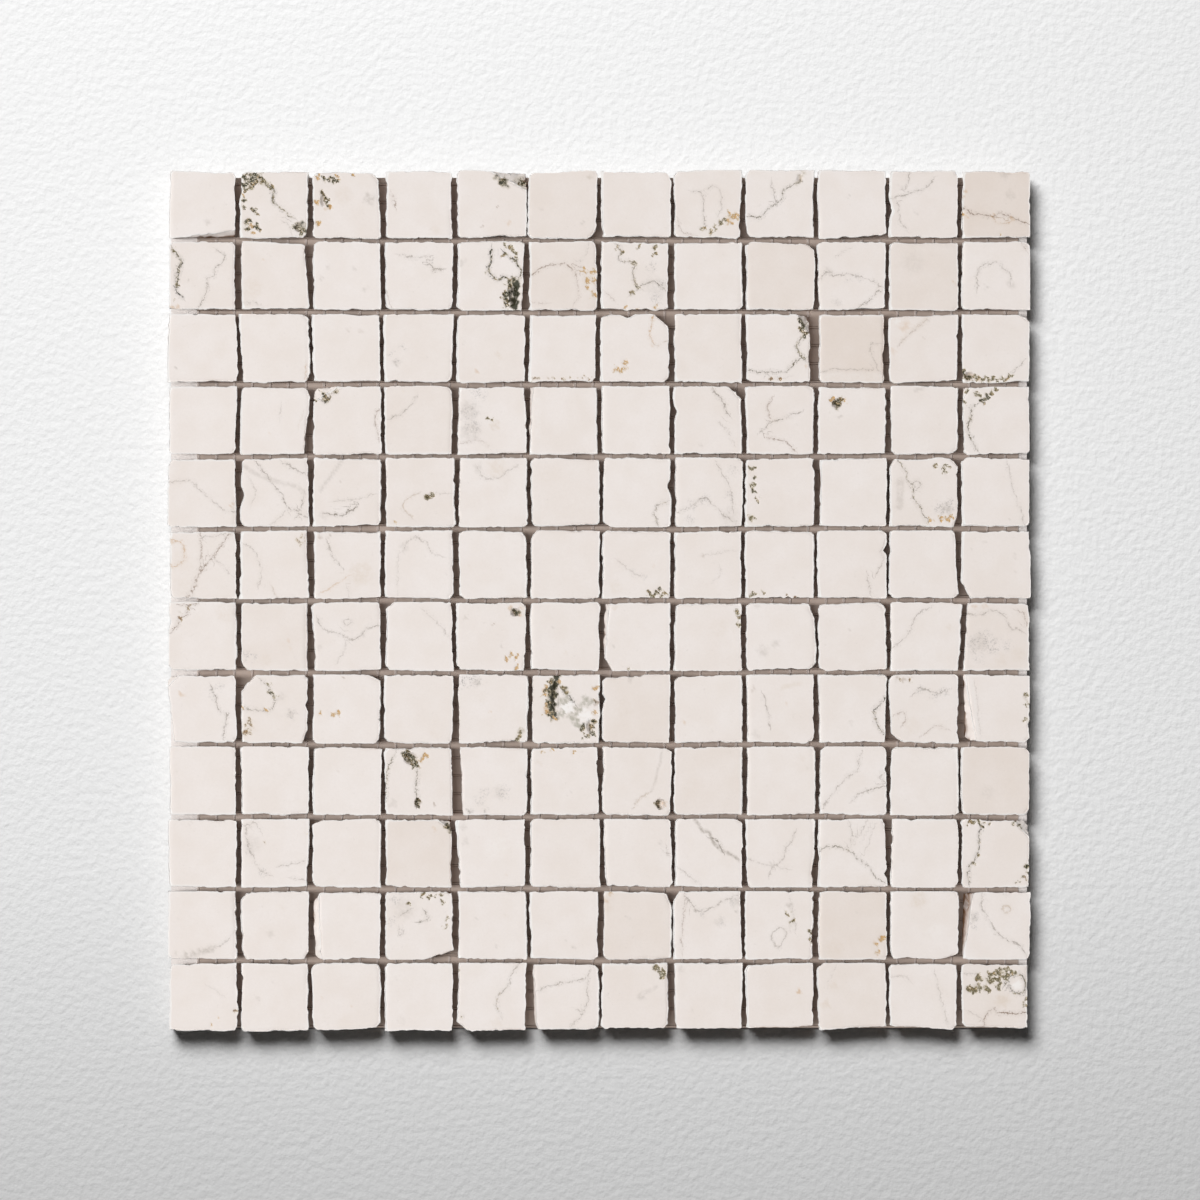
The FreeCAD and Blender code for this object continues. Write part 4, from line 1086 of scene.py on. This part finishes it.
def noise(tree, size_mm, detail=2.0, roughness=0.5, place=None, seed=None):
    """Noise with features of about that size, different on each stone."""
    place = place or object_place(tree)
    seed = seed or attribute(tree, "seed")
    return add(tree, "ShaderNodeTexNoise", {"Vector": place, "W": seed, "Scale": scale(tree, size_mm),
                                            "Detail": detail, "Roughness": roughness},
               noise_dimensions="4D").outputs[0]


print("a grain of 2 mm is a noise of scale", scale(None, 2.0))

# %% [markdown]
# Stone has one make-up all through, but two surfaces: the honed face, a warm white with faint clouds, and the
# fresh break round it, which is whiter and rough. One material shows both, mixed by how far down the wall a
# point is. Marks are drawn from the stored distances, with noise that makes them break up as real veins do.

# %% Colours, and what every material needs
PAINT = {
    "face": (0.905, 0.84, 0.805), "cloud": (0.875, 0.80, 0.752), "fleck": (0.62, 0.56, 0.51),
    "mottling": (0.80, 0.73, 0.685), "tint": (0.925, 0.892, 0.857), "dots": (0.40, 0.375, 0.36),
    "bruise_and_highlight": (0.985, 0.965, 0.945), "fresh": (0.975, 0.955, 0.935), "fresh_dull": (0.90, 0.86, 0.825),
    "cream": (0.97, 0.905, 0.86), "cream_dull": (0.90, 0.81, 0.755), "soil": (0.66, 0.57, 0.38),
    "rust": (0.52, 0.34, 0.15), "crystal": (0.86, 0.79, 0.68), "earth": (0.50, 0.40, 0.22),
    "fringe": (0.80, 0.70, 0.52), "crept_resin": (0.43, 0.24, 0.13), "dust_and_shade": (0.30, 0.275, 0.25),
    "yarn_dark": (0.52, 0.435, 0.39), "yarn_light": (0.68, 0.59, 0.54), "resin_dark": (0.44, 0.345, 0.29),
    "resin_light": (0.58, 0.475, 0.41), "board": (0.86, 0.86, 0.86), "paper": (0.90, 0.84, 0.81)}


def mix(tree, amount, first, second, **settings):
    """One colour laid over another. Each is a socket or a name in PAINT."""
    first, second = ((*PAINT[tone], 1) if isinstance(tone, str) else tone for tone in (first, second))
    return add(tree, "ShaderNodeMix", {0: amount, 6: first, 7: second}, data_type="RGBA", **settings).outputs[2]


def new_finish(name):
    """A fresh material with its node tree and its shader."""
    finish = bpy.data.materials.new(name)
    finish.use_nodes = True
    return finish, finish.node_tree, finish.node_tree.nodes["Principled BSDF"]


def bump(tree, height, depth_mm, strength=1.0):
    """Relief too fine for the mesh, which only tilts the light."""
    return add(tree, "ShaderNodeBump", {"Height": height, "Distance": depth_mm * MM, "Strength": strength})


print("colours", len(PAINT))

# %% The patterns of the marks
def pore_pattern(tree, place=None, seed=None, density=None, spare=0.0):
    """Clumps of small open pits: 1 inside them. The relief and the colour share it, so they fall together."""
    clumps = noise(tree, 1.0, 4.0, 0.72, place=place, seed=seed)
    density = density or attribute(tree, "pore")
    limit = ramp(tree, density, 0.0, 1.0, 0.70, 0.40)
    inside = calc(tree, "SUBTRACT", clumps, calc(tree, "ADD", limit, spare))
    return times(tree, ramp(tree, inside, 0.0, 0.06), ramp(tree, density, 0.02, 0.12))


def pit_colour(tree):
    """The inside of the pits: dark specks, rust and pale crystals, each about as fine as a grain of sand."""
    grain = noise(tree, 0.55, 2.0, 0.6)
    tone = attribute(tree, "pore_tone", "Color")
    soil = mix(tree, ramp(tree, attribute(tree, "pore"), 0.6, 1.0, 0.5, 0.2), tone, "soil")
    rusty = mix(tree, ramp(tree, noise(tree, 1.6, 2.0), 0.46, 0.62, 0.0, 0.7), soil, "rust")
    dotted = mix(tree, ramp(tree, grain, 0.47, 0.54, 1.0, 0.0), rusty, tone)
    return mix(tree, ramp(tree, grain, 0.58, 0.65), dotted, "crystal")


def stain_colour(tree, amount):
    """A stain's tone: a dark one turns earthy where it thins out."""
    tone = attribute(tree, "stain_tone", "Color")
    darkness = ramp(tree, add(tree, "ShaderNodeSeparateColor", {0: tone}), 0.1, 0.3, 0.75, 0.0)
    thin = times(tree, darkness, ramp(tree, amount, 0.3, 0.85, 1.0, 0.0))
    return mix(tree, thin, tone, "earth")


def vein_pattern(tree):
    """A broken, jagged line of uneven width along the stored stroke, with specks beside it."""
    sway = times(tree, calc(tree, "SUBTRACT", noise(tree, 2.2, 4.0, 0.72), 0.5), 3.6)
    line = calc(tree, "ABSOLUTE", calc(tree, "ADD", attribute(tree, "line_side"), sway))
    width = times(tree, attribute(tree, "line_width"), ramp(tree, noise(tree, 0.9), 0.35, 0.65, 0.3, 1.1))
    drawn = calc(tree, "SUBTRACT", 1.0, ramp(tree, calc(tree, "DIVIDE", line, width), 0.2, 0.85))
    gaps = ramp(tree, noise(tree, 1.6, 3.0, 0.65), 0.38, 0.55, 0.1, 1.0)
    beside = ramp(tree, line, 0.2, 1.3, 1.0, 0.0)
    specks = times(tree, ramp(tree, noise(tree, 0.5, 2.0), 0.58, 0.68, 0.1, 0.75), beside)
    shown = times(tree, calc(tree, "MAXIMUM", times(tree, drawn, gaps), specks), 1.55)
    close = ramp(tree, attribute(tree, "line_near"), 1.8, 2.4, 1.0, 0.0)
    strength = attribute(tree, "line_strength")
    return calc(tree, "MULTIPLY", times(tree, shown, close), strength, clamp=True)


def dot_pattern(tree):
    """Fine grey dots in loose drifts."""
    drift = ramp(tree, noise(tree, 2.0, 3.0, 0.6), 0.40, 0.56)
    dots = ramp(tree, noise(tree, 0.5, 2.0, 0.6), 0.50, 0.60, 0.12, 0.75)
    return times(tree, drift, dots, attribute(tree, "dots"))


def bruised_rim_and_painted_highlight(tree):
    """The last half millimetre of the face, bruised white all round, and whiter still on the left edges as a
    painted highlight where the light falls.
    """
    pull = attribute(tree, "pull", "Vector")
    beside = add(tree, "ShaderNodeVectorMath", {0: pull}, operation="LENGTH").outputs["Value"]
    leftward = times(tree, component(tree, pull, 0), -1.0)
    # A bruise of 0.25 all round; the rest, on the left edges that face the light, is a painted highlight.
    amount = calc(tree, "ADD", 0.25, ramp(tree, leftward, 0.35, 0.55, 0.0, 0.65))
    return times(tree, ramp(tree, beside, 0.5, 0.75), amount)


print("patterns for pits, stains, veins, dots and the bruised rim")

# %% The finish of the stone
def face_colour(tree):
    """The honed face: clouds, flecks and mottling over a warm white, then the stone's own tint, grey dots and
    the bruised rim with its painted highlight on the left edges.
    """
    plain = mix(tree, ramp(tree, noise(tree, 9.0, 3.0), 0.35, 0.65), "face", "cloud")
    plain = mix(tree, ramp(tree, noise(tree, 1.3, 3.0, 0.7), 0.62, 0.74, 0.0, 0.22), plain, "fleck")
    plain = mix(tree, ramp(tree, noise(tree, 0.9, 4.0, 0.75), 0.35, 0.7, 0.0, 0.3), plain, "mottling")
    tinted = mix(tree, 1.0, plain, "tint", blend_type="MULTIPLY")
    colour = mix(tree, attribute(tree, "tint"), plain, tinted)
    colour = mix(tree, dot_pattern(tree), colour, "dots")
    # The bruised rim, whiter on the left edges as a painted highlight.
    return mix(tree, bruised_rim_and_painted_highlight(tree), colour, "bruise_and_highlight")


def make_stone_finish():
    """The stone's material. Each line that sets the colour lays one more thing over it."""
    finish, tree, shader = new_finish("chipped_limestone")
    depth = attribute(tree, "depth")
    facing = component(tree, add(tree, "ShaderNodeNewGeometry").outputs["True Normal"], 2)
    broken = ramp(tree, depth, 0.0, 0.02)
    vein = vein_pattern(tree)
    colour = mix(tree, vein, face_colour(tree), attribute(tree, "line_tone", "Color"))
    fresh = mix(tree, noise(tree, 0.8, 3.0), "fresh", "fresh_dull")
    colour = mix(tree, times(tree, broken, 0.85), colour, fresh)
    flaked = times(tree, ramp(tree, depth, 0.25, 0.7), ramp(tree, facing, 0.1, 0.35))
    colour = mix(tree, flaked, colour, mix(tree, noise(tree, 1.5, 3.0, 0.6), "cream", "cream_dull"))
    stain = times(tree, attribute(tree, "stain"), ramp(tree, noise(tree, 1.3, 4.0, 0.7), 0.36, 0.56, 0.2, 1.0))
    colour = mix(tree, stain, colour, stain_colour(tree, stain))
    fringe = mix(tree, 0.25, "fringe", attribute(tree, "pore_tone", "Color"))
    colour = mix(tree, times(tree, pore_pattern(tree, spare=-0.1), 0.4), colour, fringe)
    pits = pore_pattern(tree, spare=-0.02)
    colour = mix(tree, pits, colour, pit_colour(tree))
    crept = times(tree, attribute(tree, "creep"), ramp(tree, facing, 0.2, 0.5, 0.93, 0.0))
    colour = mix(tree, crept, colour, "crept_resin")
    # The walls round the sheet's outline: dust and resin, and painted shade that keeps their bounced light off
    # the board.
    dust_and_shade_amount = times(tree, attribute(tree, "grime"), ramp(tree, facing, 0.2, 0.5, 0.85, 0.0))
    colour = mix(tree, dust_and_shade_amount, colour, "dust_and_shade")
    grain = times(tree, noise(tree, 0.45, 4.0, 0.65), ramp(tree, broken, 0.0, 1.0, 0.12, 1.0))
    sunk = calc(tree, "MAXIMUM", times(tree, pits, noise(tree, 0.55, 2.0, 0.6)), vein)
    height = calc(tree, "SUBTRACT", grain, times(tree, sunk, 0.8))
    fill(tree, shader, {
        "Base Color": colour, "Roughness": ramp(tree, broken, 0.0, 1.0, 0.55, 0.85),
        "Specular IOR Level": calc(tree, "SUBTRACT", 0.3, times(tree, crept, 0.3)),
        "Normal": bump(tree, height, 0.25, 0.6)})
    return finish


stone_finish = make_stone_finish()
print("material", stone_finish.name, "with", len(stone_finish.node_tree.nodes), "nodes")

# %% [markdown]
# Pliers leave a nibbled edge: bites of about two millimetres with slow waves between them. They could be
# carved stone by stone, or faked with bump. They show in the outline, so they are shape, and one tree of
# geometry nodes makes them on every stone from what the mesh stores. The edge moves level, mostly inward,
# breaks and pits sink along the surface's own direction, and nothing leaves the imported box.

# %% Trees that shape a mesh
def group_input(tree, sockets):
    """Give a geometry tree its inputs, {name: kind of socket}, and return them by name."""
    for way in ("INPUT", "OUTPUT"):
        tree.interface.new_socket("Geometry", in_out=way, socket_type="NodeSocketGeometry")
    for name, kind in sockets.items():
        tree.interface.new_socket(name, in_out="INPUT", socket_type="NodeSocket" + kind)
    return tree.nodes.new("NodeGroupInput").outputs


def group_output(tree, shape, finish):
    """End a geometry tree: plain geometry with its material."""
    whole = add(tree, "GeometryNodeRealizeInstances", {0: shape})
    done = add(tree, "GeometryNodeSetMaterial", {"Geometry": whole, "Material": finish})
    add(tree, "NodeGroupOutput", {0: done})
    return tree


def run_tree(piece, tree, values):
    """Run a geometry tree on a piece with the given inputs, and keep its result as a plain mesh."""
    modifier = piece.modifiers.new(tree.name, "NODES")
    modifier.node_group = tree
    sockets = {item.name: item.identifier for item in tree.interface.items_tree if item.in_out == "INPUT"}
    for name, value in values.items():
        modifier[sockets[name]] = value
    shown = piece.evaluated_get(bpy.context.evaluated_depsgraph_get())
    mesh = bpy.data.meshes.new_from_object(shown)
    piece.modifiers.remove(modifier)
    piece.data = mesh
    mesh.name = piece.name
    return piece


print("rows that wait for their relief", len(stone_rows))

# %% The relief of the stones
RELIEF = {"Nibble depth": 0.42, "Nibble size": 2.2, "Wave depth": 1.1, "Wave size": 4.5, "Most growth": 0.28,
          "Break depth": 0.3, "Pit depth": 0.3}      # all in millimetres
SHARP = math.radians(32)                             # steeper edges than this stay sharp


def make_relief():
    """Edges nibbled and waved to and fro, breaks down the wall and open pits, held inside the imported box."""
    tree = bpy.data.node_groups.new("stone_relief", "GeometryNodeTree")
    given = group_input(tree, {**dict.fromkeys(RELIEF, "Float"), "Low": "Vector", "High": "Vector",
                               "Finish": "Material"})

    def stored(name, kind="FLOAT"):
        made = add(tree, "GeometryNodeInputNamedAttribute", {"Name": name}, data_type=kind)
        return next(output for output in made.outputs if output.enabled and output.name == "Attribute")

    place = add(tree, "GeometryNodeInputPosition").outputs[0]
    seed = stored("seed")
    here = {"place": place, "seed": seed}
    bite = scale(tree, given["Nibble size"])
    cells = add(tree, "ShaderNodeTexVoronoi", {"Vector": place, "W": seed, "Scale": bite},
                voronoi_dimensions="4D")
    scallop = ramp(tree, cells.outputs["Distance"], 0.2, 0.75, 1.0, 0.0)
    ragged = ramp(tree, noise(tree, 0.9, 2.0, 0.6, **here), 0.3, 0.7, 0.0, 0.45)
    varied = ramp(tree, noise(tree, 5.0, 1.0, **here), 0.42, 0.66, 0.3, 1.8)
    centred = calc(tree, "SUBTRACT", calc(tree, "ADD", scallop, ragged), 0.55)
    slow = calc(tree, "SUBTRACT", noise(tree, given["Wave size"], **here), 0.5)
    bitten = calc(tree, "ADD", times(tree, centred, varied, given["Nibble depth"]),
                  times(tree, slow, given["Wave depth"]))
    bitten = calc(tree, "MAXIMUM", bitten, times(tree, given["Most growth"], -1.0))
    level = vector(tree, "SCALE", stored("pull", "FLOAT_VECTOR"), Scale=times(tree, bitten, -MM))
    rough = ramp(tree, noise(tree, 2.6, 3.0, 0.6, **here), 0.3, 0.75)
    breaks = times(tree, rough, ramp(tree, stored("depth"), 0.1, 0.6), given["Break depth"])
    pits = times(tree, pore_pattern(tree, place, seed, stored("pore"), 0.03), given["Pit depth"])
    inward = times(tree, calc(tree, "ADD", breaks, pits), -MM)
    sunk = vector(tree, "SCALE", add(tree, "GeometryNodeInputNormal"), Scale=inward)
    shifted = vector(tree, "ADD", place, vector(tree, "ADD", level, sunk))
    held = vector(tree, "MINIMUM", vector(tree, "MAXIMUM", shifted, given["Low"]), given["High"])
    moved = add(tree, "GeometryNodeSetPosition", {"Geometry": given["Geometry"], "Position": held})
    return group_output(tree, moved, given["Finish"])


relief = make_relief()
for piece, node in zip(stone_rows, ROWS):
    low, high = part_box(node)
    run_tree(piece, relief, {**RELIEF, "Low": low, "High": high, "Finish": stone_finish})
    piece.data.shade_smooth()
    piece.data.set_sharp_from_angle(angle=SHARP)
    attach(piece, "root")
    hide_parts(node)
print("relief on", len(stone_rows), "rows")

# %% [markdown]
# The net is a leno weave of glass yarn: the yarns that run up the sheet are pairs that twist round each other
# and grip the flat cross yarns between them. One tree draws a strand, bends it to a wave, gives it a
# flattened section and repeats it across the sheet. Twisted pairs are two such runs, half a wave apart.

# %% The finish of the net and the resin
def make_bound_finish(name, kind, grain_mm, detail, bump_mm, roughness, shine):
    """Yarn or resin: a dark and a light tone in uneven patches, with a little relief."""
    finish, tree, shader = new_finish(name)
    patches = even_noise(tree, grain_mm, detail)
    fill(tree, shader, {
        "Base Color": mix(tree, patches, kind + "_dark", kind + "_light"), "Roughness": roughness,
        "Specular IOR Level": shine, "Normal": bump(tree, patches, bump_mm)})
    return finish


warp_finish = make_bound_finish("resin_bound_yarn", "yarn", 0.6, 3.0, 0.05, 0.6, 0.5)
weft_finish = make_bound_finish("resin_soaked_yarn", "resin", 0.6, 3.0, 0.05, 0.6, 0.5)
resin_finish = make_bound_finish("brushed_resin", "resin", 7, 4.0, 0.1, 0.5, 0.3)
print("materials", warp_finish.name, weft_finish.name, resin_finish.name)

# %% Measure the yarns
def yarns_of(node, axis):
    """The first yarn's middle, the spacing and the count of a layer of straight yarns, in metres."""
    places = sorted({round(vertex.co[axis], 6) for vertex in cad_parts[node].data.vertices})
    starts = places[::2]
    half = (places[1] - places[0]) / 2
    return starts[0] + half, starts[1] - starts[0], len(starts)


warp_first, warp_spacing, warp_count = yarns_of("net_warp", 0)
weft_first, weft_spacing, weft_count = yarns_of("net_weft", 1)
print("warp", warp_count, "yarns", round(warp_spacing / MM, 2), "mm apart; weft", weft_count)

# %% A tree that draws strands
def make_strands():
    """One layer of wavy strands, side by side."""
    tree = bpy.data.node_groups.new("net_strands", "GeometryNodeTree")
    given = group_input(tree, {
        "Start": "Vector", "End": "Vector", "Samples": "Int", "Step": "Vector", "Count": "Int", "Wave": "Float",
        "Phase": "Float", "Sway": "Vector", "Lift": "Float", "Width": "Float", "Thickness": "Float",
        "Sides": "Int", "Finish": "Material"})
    line = add(tree, "GeometryNodeCurvePrimitiveLine", {"Start": given["Start"], "End": given["End"]})
    strand = add(tree, "GeometryNodeResampleCurve", {"Curve": line, "Count": given["Samples"]})
    along = add(tree, "GeometryNodeSplineParameter").outputs["Length"]
    turns = calc(tree, "DIVIDE", times(tree, along, math.tau), given["Wave"])
    angle = calc(tree, "ADD", turns, given["Phase"])
    sway = vector(tree, "SCALE", given["Sway"], Scale=calc(tree, "COSINE", angle))
    lift = add(tree, "ShaderNodeCombineXYZ", {2: times(tree, calc(tree, "SINE", angle), given["Lift"])})
    bent = add(tree, "GeometryNodeSetPosition", {"Geometry": strand, "Offset": vector(tree, "ADD", sway, lift)})
    upright = add(tree, "GeometryNodeSetCurveNormal", {0: bent}, mode="Z_UP")
    section = add(tree, "GeometryNodeCurvePrimitiveCircle", {"Resolution": given["Sides"], "Radius": 0.5})
    size = add(tree, "ShaderNodeCombineXYZ", {0: given["Width"], 1: given["Thickness"], 2: 1.0})
    flat = add(tree, "GeometryNodeTransform", {"Geometry": section, "Scale": size})
    tube = add(tree, "GeometryNodeCurveToMesh", {"Curve": upright, "Profile Curve": flat, "Fill Caps": True})
    rounded = add(tree, "GeometryNodeSetShadeSmooth", {0: tube})
    across = add(tree, "GeometryNodeMeshLine", {"Count": given["Count"], "Offset": given["Step"]})
    laid = add(tree, "GeometryNodeInstanceOnPoints", {"Points": across, "Instance": rounded})
    return group_output(tree, laid, given["Finish"])


strands = make_strands()
print("strands are drawn with", len(strands.nodes), "nodes")

# %% The net
PAIR_LEVEL = 0.11 * MM                   # a pair's middle, above the underside of its layer
PAIR_SWAY, PAIR_LIFT = 0.25 * MM, 0.03 * MM
PAIR_WIDTH, PAIR_THICKNESS = 0.6 * MM, 0.16 * MM
CROSS_SWAY = 0.04 * MM
CROSS_WIDTH, CROSS_THICKNESS = 0.85 * MM, 0.22 * MM


def join(name, parts):
    """Several pieces as one."""
    mesh = bmesh.new()
    for part in parts:
        mesh.from_mesh(part.data)
    parts[0].data.clear_geometry()
    mesh.to_mesh(parts[0].data)
    mesh.free()
    for part in parts[1:]:
        bpy.data.objects.remove(part)
    parts[0].name = name
    parts[0].data.shade_smooth()
    return parts[0]


warp_low, warp_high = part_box("net_warp")
weft_low, weft_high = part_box("net_weft")
warp_z = warp_low.z + PAIR_LEVEL
weft_z = (weft_low.z + weft_high.z) / 2
twisted = []
for phase in (0.0, math.pi):
    twisted.append(run_tree(add_piece(f"warp_{len(twisted)}"), strands, {
        "Start": (warp_first, warp_low.y, warp_z), "End": (warp_first, warp_high.y, warp_z),
        "Samples": 3 * weft_count, "Step": (warp_spacing, 0, 0), "Count": warp_count, "Wave": 2 * weft_spacing,
        "Phase": phase, "Sway": (PAIR_SWAY, 0, 0), "Lift": PAIR_LIFT, "Width": PAIR_WIDTH,
        "Thickness": PAIR_THICKNESS, "Sides": 5, "Finish": warp_finish}))
warp = join("net_warp_pairs", twisted)
weft = run_tree(add_piece("net_weft_yarns"), strands, {
    "Start": (weft_low.x, weft_first, weft_z), "End": (weft_high.x, weft_first, weft_z),
    "Samples": 2 * warp_count, "Step": (0, weft_spacing, 0), "Count": weft_count, "Wave": 2 * warp_spacing,
    "Phase": 0.0, "Sway": (0, CROSS_SWAY, 0), "Lift": 0.0, "Width": CROSS_WIDTH,
    "Thickness": CROSS_THICKNESS, "Sides": 4, "Finish": weft_finish})
for piece, node in ((warp, "net_warp"), (weft, "net_weft")):
    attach(piece, "root")
    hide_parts(node)
    print(piece.name, len(piece.data.polygons), "faces")

# %% [markdown]
# The resin is brushed over the net while the stones lie face down in a tray. It dries to a film, thinner
# between the yarns and thicker over them. It could be a solid slab with bump. A grid with lines at each
# yarn's middle and sides shows the net's real swelling instead: its points over a yarn hang lower.

# %% The resin coat
YARN_HALF = 0.5 * MM         # half the width of the swelling over a yarn
SWELLING = 0.1 * MM          # and its height


def coat_lines(first, spacing, count, low, high):
    """Where the coat's mesh has lines: the two sides and the crest of the swelling over each yarn."""
    lines = [low, high]
    for number in range(count):
        middle = first + number * spacing
        lines += [max(middle - YARN_HALF, low), middle, min(middle + YARN_HALF, high)]
    return np.unique(np.round(lines, 6))


def near_yarn(places, first, spacing, half=0.3 * MM):
    """Which lines lie on a yarn's crest."""
    away = (places - first + spacing / 2) % spacing - spacing / 2
    return np.abs(away) < half


def build_coat():
    """A thin coat whose underside swells along the yarns that it covers."""
    low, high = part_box("resin_coat")
    xs = coat_lines(warp_first, warp_spacing, warp_count, low.x, high.x)
    ys = coat_lines(weft_first, weft_spacing, weft_count, low.y, high.y)
    x, y = np.meshgrid(xs, ys)
    crest = near_yarn(x, warp_first, warp_spacing) | near_yarn(y, weft_first, weft_spacing)
    under = np.stack([x, y, np.where(crest, low.z, low.z + SWELLING)], 2).reshape(-1, 3)
    rim = grid_border(len(xs), len(ys))
    top = under[rim]
    top[:, 2] = high.z
    upper = len(under) + np.arange(len(rim))
    quads = np.concatenate([grid_quads(len(xs), len(ys)), band_quads(rim, upper)]).tolist()
    return add_piece("resin_film", np.concatenate([under, top]), quads + [upper.tolist()], resin_finish)


film = build_coat()
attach(film, "root")
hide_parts("resin_coat")
print("film", len(film.data.polygons), "faces")

# %% [markdown]
# The sheet lies on a pale plastered board. One flat face is enough for it: its grain is fine bump, and its
# colour carries painted light, a little lighter beside the sheet and a little darker towards the bottom of the
# picture. A sheet of pale pink paper lies between, and shows at the ends of the joints.

# %% The ground
BOARD_HALF = (2.0, 2.0)
BOARD_Z = -0.2 * MM
PAPER_HALF = (0.1516, 0.148)    # it ends under the outer stones
PAPER_Z = -0.1 * MM
# Painted light on the board: its colour lighter beside the sheet and darker towards the bottom.
BOARD_PAINTED_LIGHT = ((-0.23, -0.09, 0.83, 1.0), (-0.05, 0.2, 1.12, 0.99))     # two places along Y, a share at each


def make_ground_finish(name, tone, painted_light=()):
    """Pale and dull, with the faint grain of plaster. Each fade is a share of the colour along Y, painted
    light.
    """
    finish, tree, shader = new_finish(name)
    grain = bump(tree, even_noise(tree, 2.6, 4.0), 0.6, 0.9)
    fill(tree, shader, {"Base Color": (*PAINT[tone], 1), "Roughness": 0.9, "Normal": grain})
    if painted_light:
        along = component(tree, object_place(tree), 1)
        share = times(tree, 1.0, *(ramp(tree, along, *fade) for fade in painted_light))
        fill(tree, shader, {"Base Color": vector(tree, "SCALE", PAINT[tone], Scale=share)})
    return finish


def make_ground(name, half, z, finish):
    """A flat rectangle of ground under the sheet."""
    x, y = half
    ground = add_piece(name, [(-x, -y, z), (x, -y, z), (x, y, z), (-x, y, z)], [(0, 1, 2, 3)], finish)
    return ground


board = make_ground("board", BOARD_HALF, BOARD_Z, make_ground_finish("plastered_board_painted_light", "board", BOARD_PAINTED_LIGHT))
paper = make_ground("paper", PAPER_HALF, PAPER_Z, make_ground_finish("backing_paper", "paper"))
print("ground", board.name, paper.name)

# %% [markdown]
# A long soft light hangs over the left side, in line with the rows: it reaches into the joints along the
# rows, leaves the others dark and brightens the left rims. A broad fill light softens the rest. The photo's
# stones are lit evenly and yet throw a clear shadow to the lower right. One lamp can't do both, so the board
# has a key light of its own, from the upper left, and light linking keeps each lamp to what it lights.

# %% The lights
KEY_SPREAD = math.radians(68.5)
WORLD_LIGHT = 0.02


def add_lamp(name, place, target, size, power, lit):
    """A soft rectangular light that faces a point and lights only the given objects."""
    lamp = bpy.data.lights.new(name, "AREA")
    lamp.shape = "RECTANGLE"
    lamp.size, lamp.size_y = size
    lamp.energy = power
    held = link(bpy.data.objects.new(name, lamp))
    held.location = place
    held.rotation_euler = (Vector(target) - Vector(place)).to_track_quat("-Z", "Y").to_euler()
    group = bpy.data.collections.new(name + "_lights")
    for thing in lit:
        group.objects.link(thing)
    held.light_linking.receiver_collection = group
    return held


sheet = stone_rows + [warp, weft, film, paper]
add_lamp("strip", place=(-5.3, 0, 6.0), target=(-5.3, 0, 0), size=(9.4, 1.0), power=522.0, lit=sheet)
add_lamp("fill", place=(0, 0, 3.0), target=(0, 0, 0), size=(2.6, 6.0), power=47.5, lit=sheet)
key = add_lamp("key", place=(-0.641, 1.379, 2.028), target=(-0.092, 0.574, 0), size=(1.204, 1.285), power=14.1,
               lit=[board])
key.data.spread = KEY_SPREAD
world = bpy.data.worlds.new("studio")
world.use_nodes = True
fill(world.node_tree, world.node_tree.nodes["Background"], {0: (1, 1, 1, 1), 1: WORLD_LIGHT})
bpy.context.scene.world = world
print("lamps for", len(sheet), "pieces, and", key.name, "for the", board.name)

# %% [markdown]
# Hardly any of the stones' walls show in the photo, so it was taken from far above. A long lens on a far
# camera gives that flat perspective. A near camera would see the outer walls of every stone.

# %% The camera
EYE = 2.5                       # from the lens to the stones' faces
VIEW_WIDTH = 0.4234             # what the picture spans at the stones' faces
SENSOR = 36.0
AIM = (0.00035, 0.00025)        # the middle of the picture, from the middle of the sheet
camera_data = bpy.data.cameras.new("camera")
camera_data.sensor_width = SENSOR
camera_data.lens = SENSOR * EYE / VIEW_WIDTH
camera = link(bpy.data.objects.new("camera", camera_data))
camera.location = (AIM[0], AIM[1], EYE + FACE_Z * MM)
bpy.context.scene.camera = camera
bpy.context.scene.view_settings.view_transform = "Standard"
print("the camera looks down from", round(camera.location.z, 3), "m")
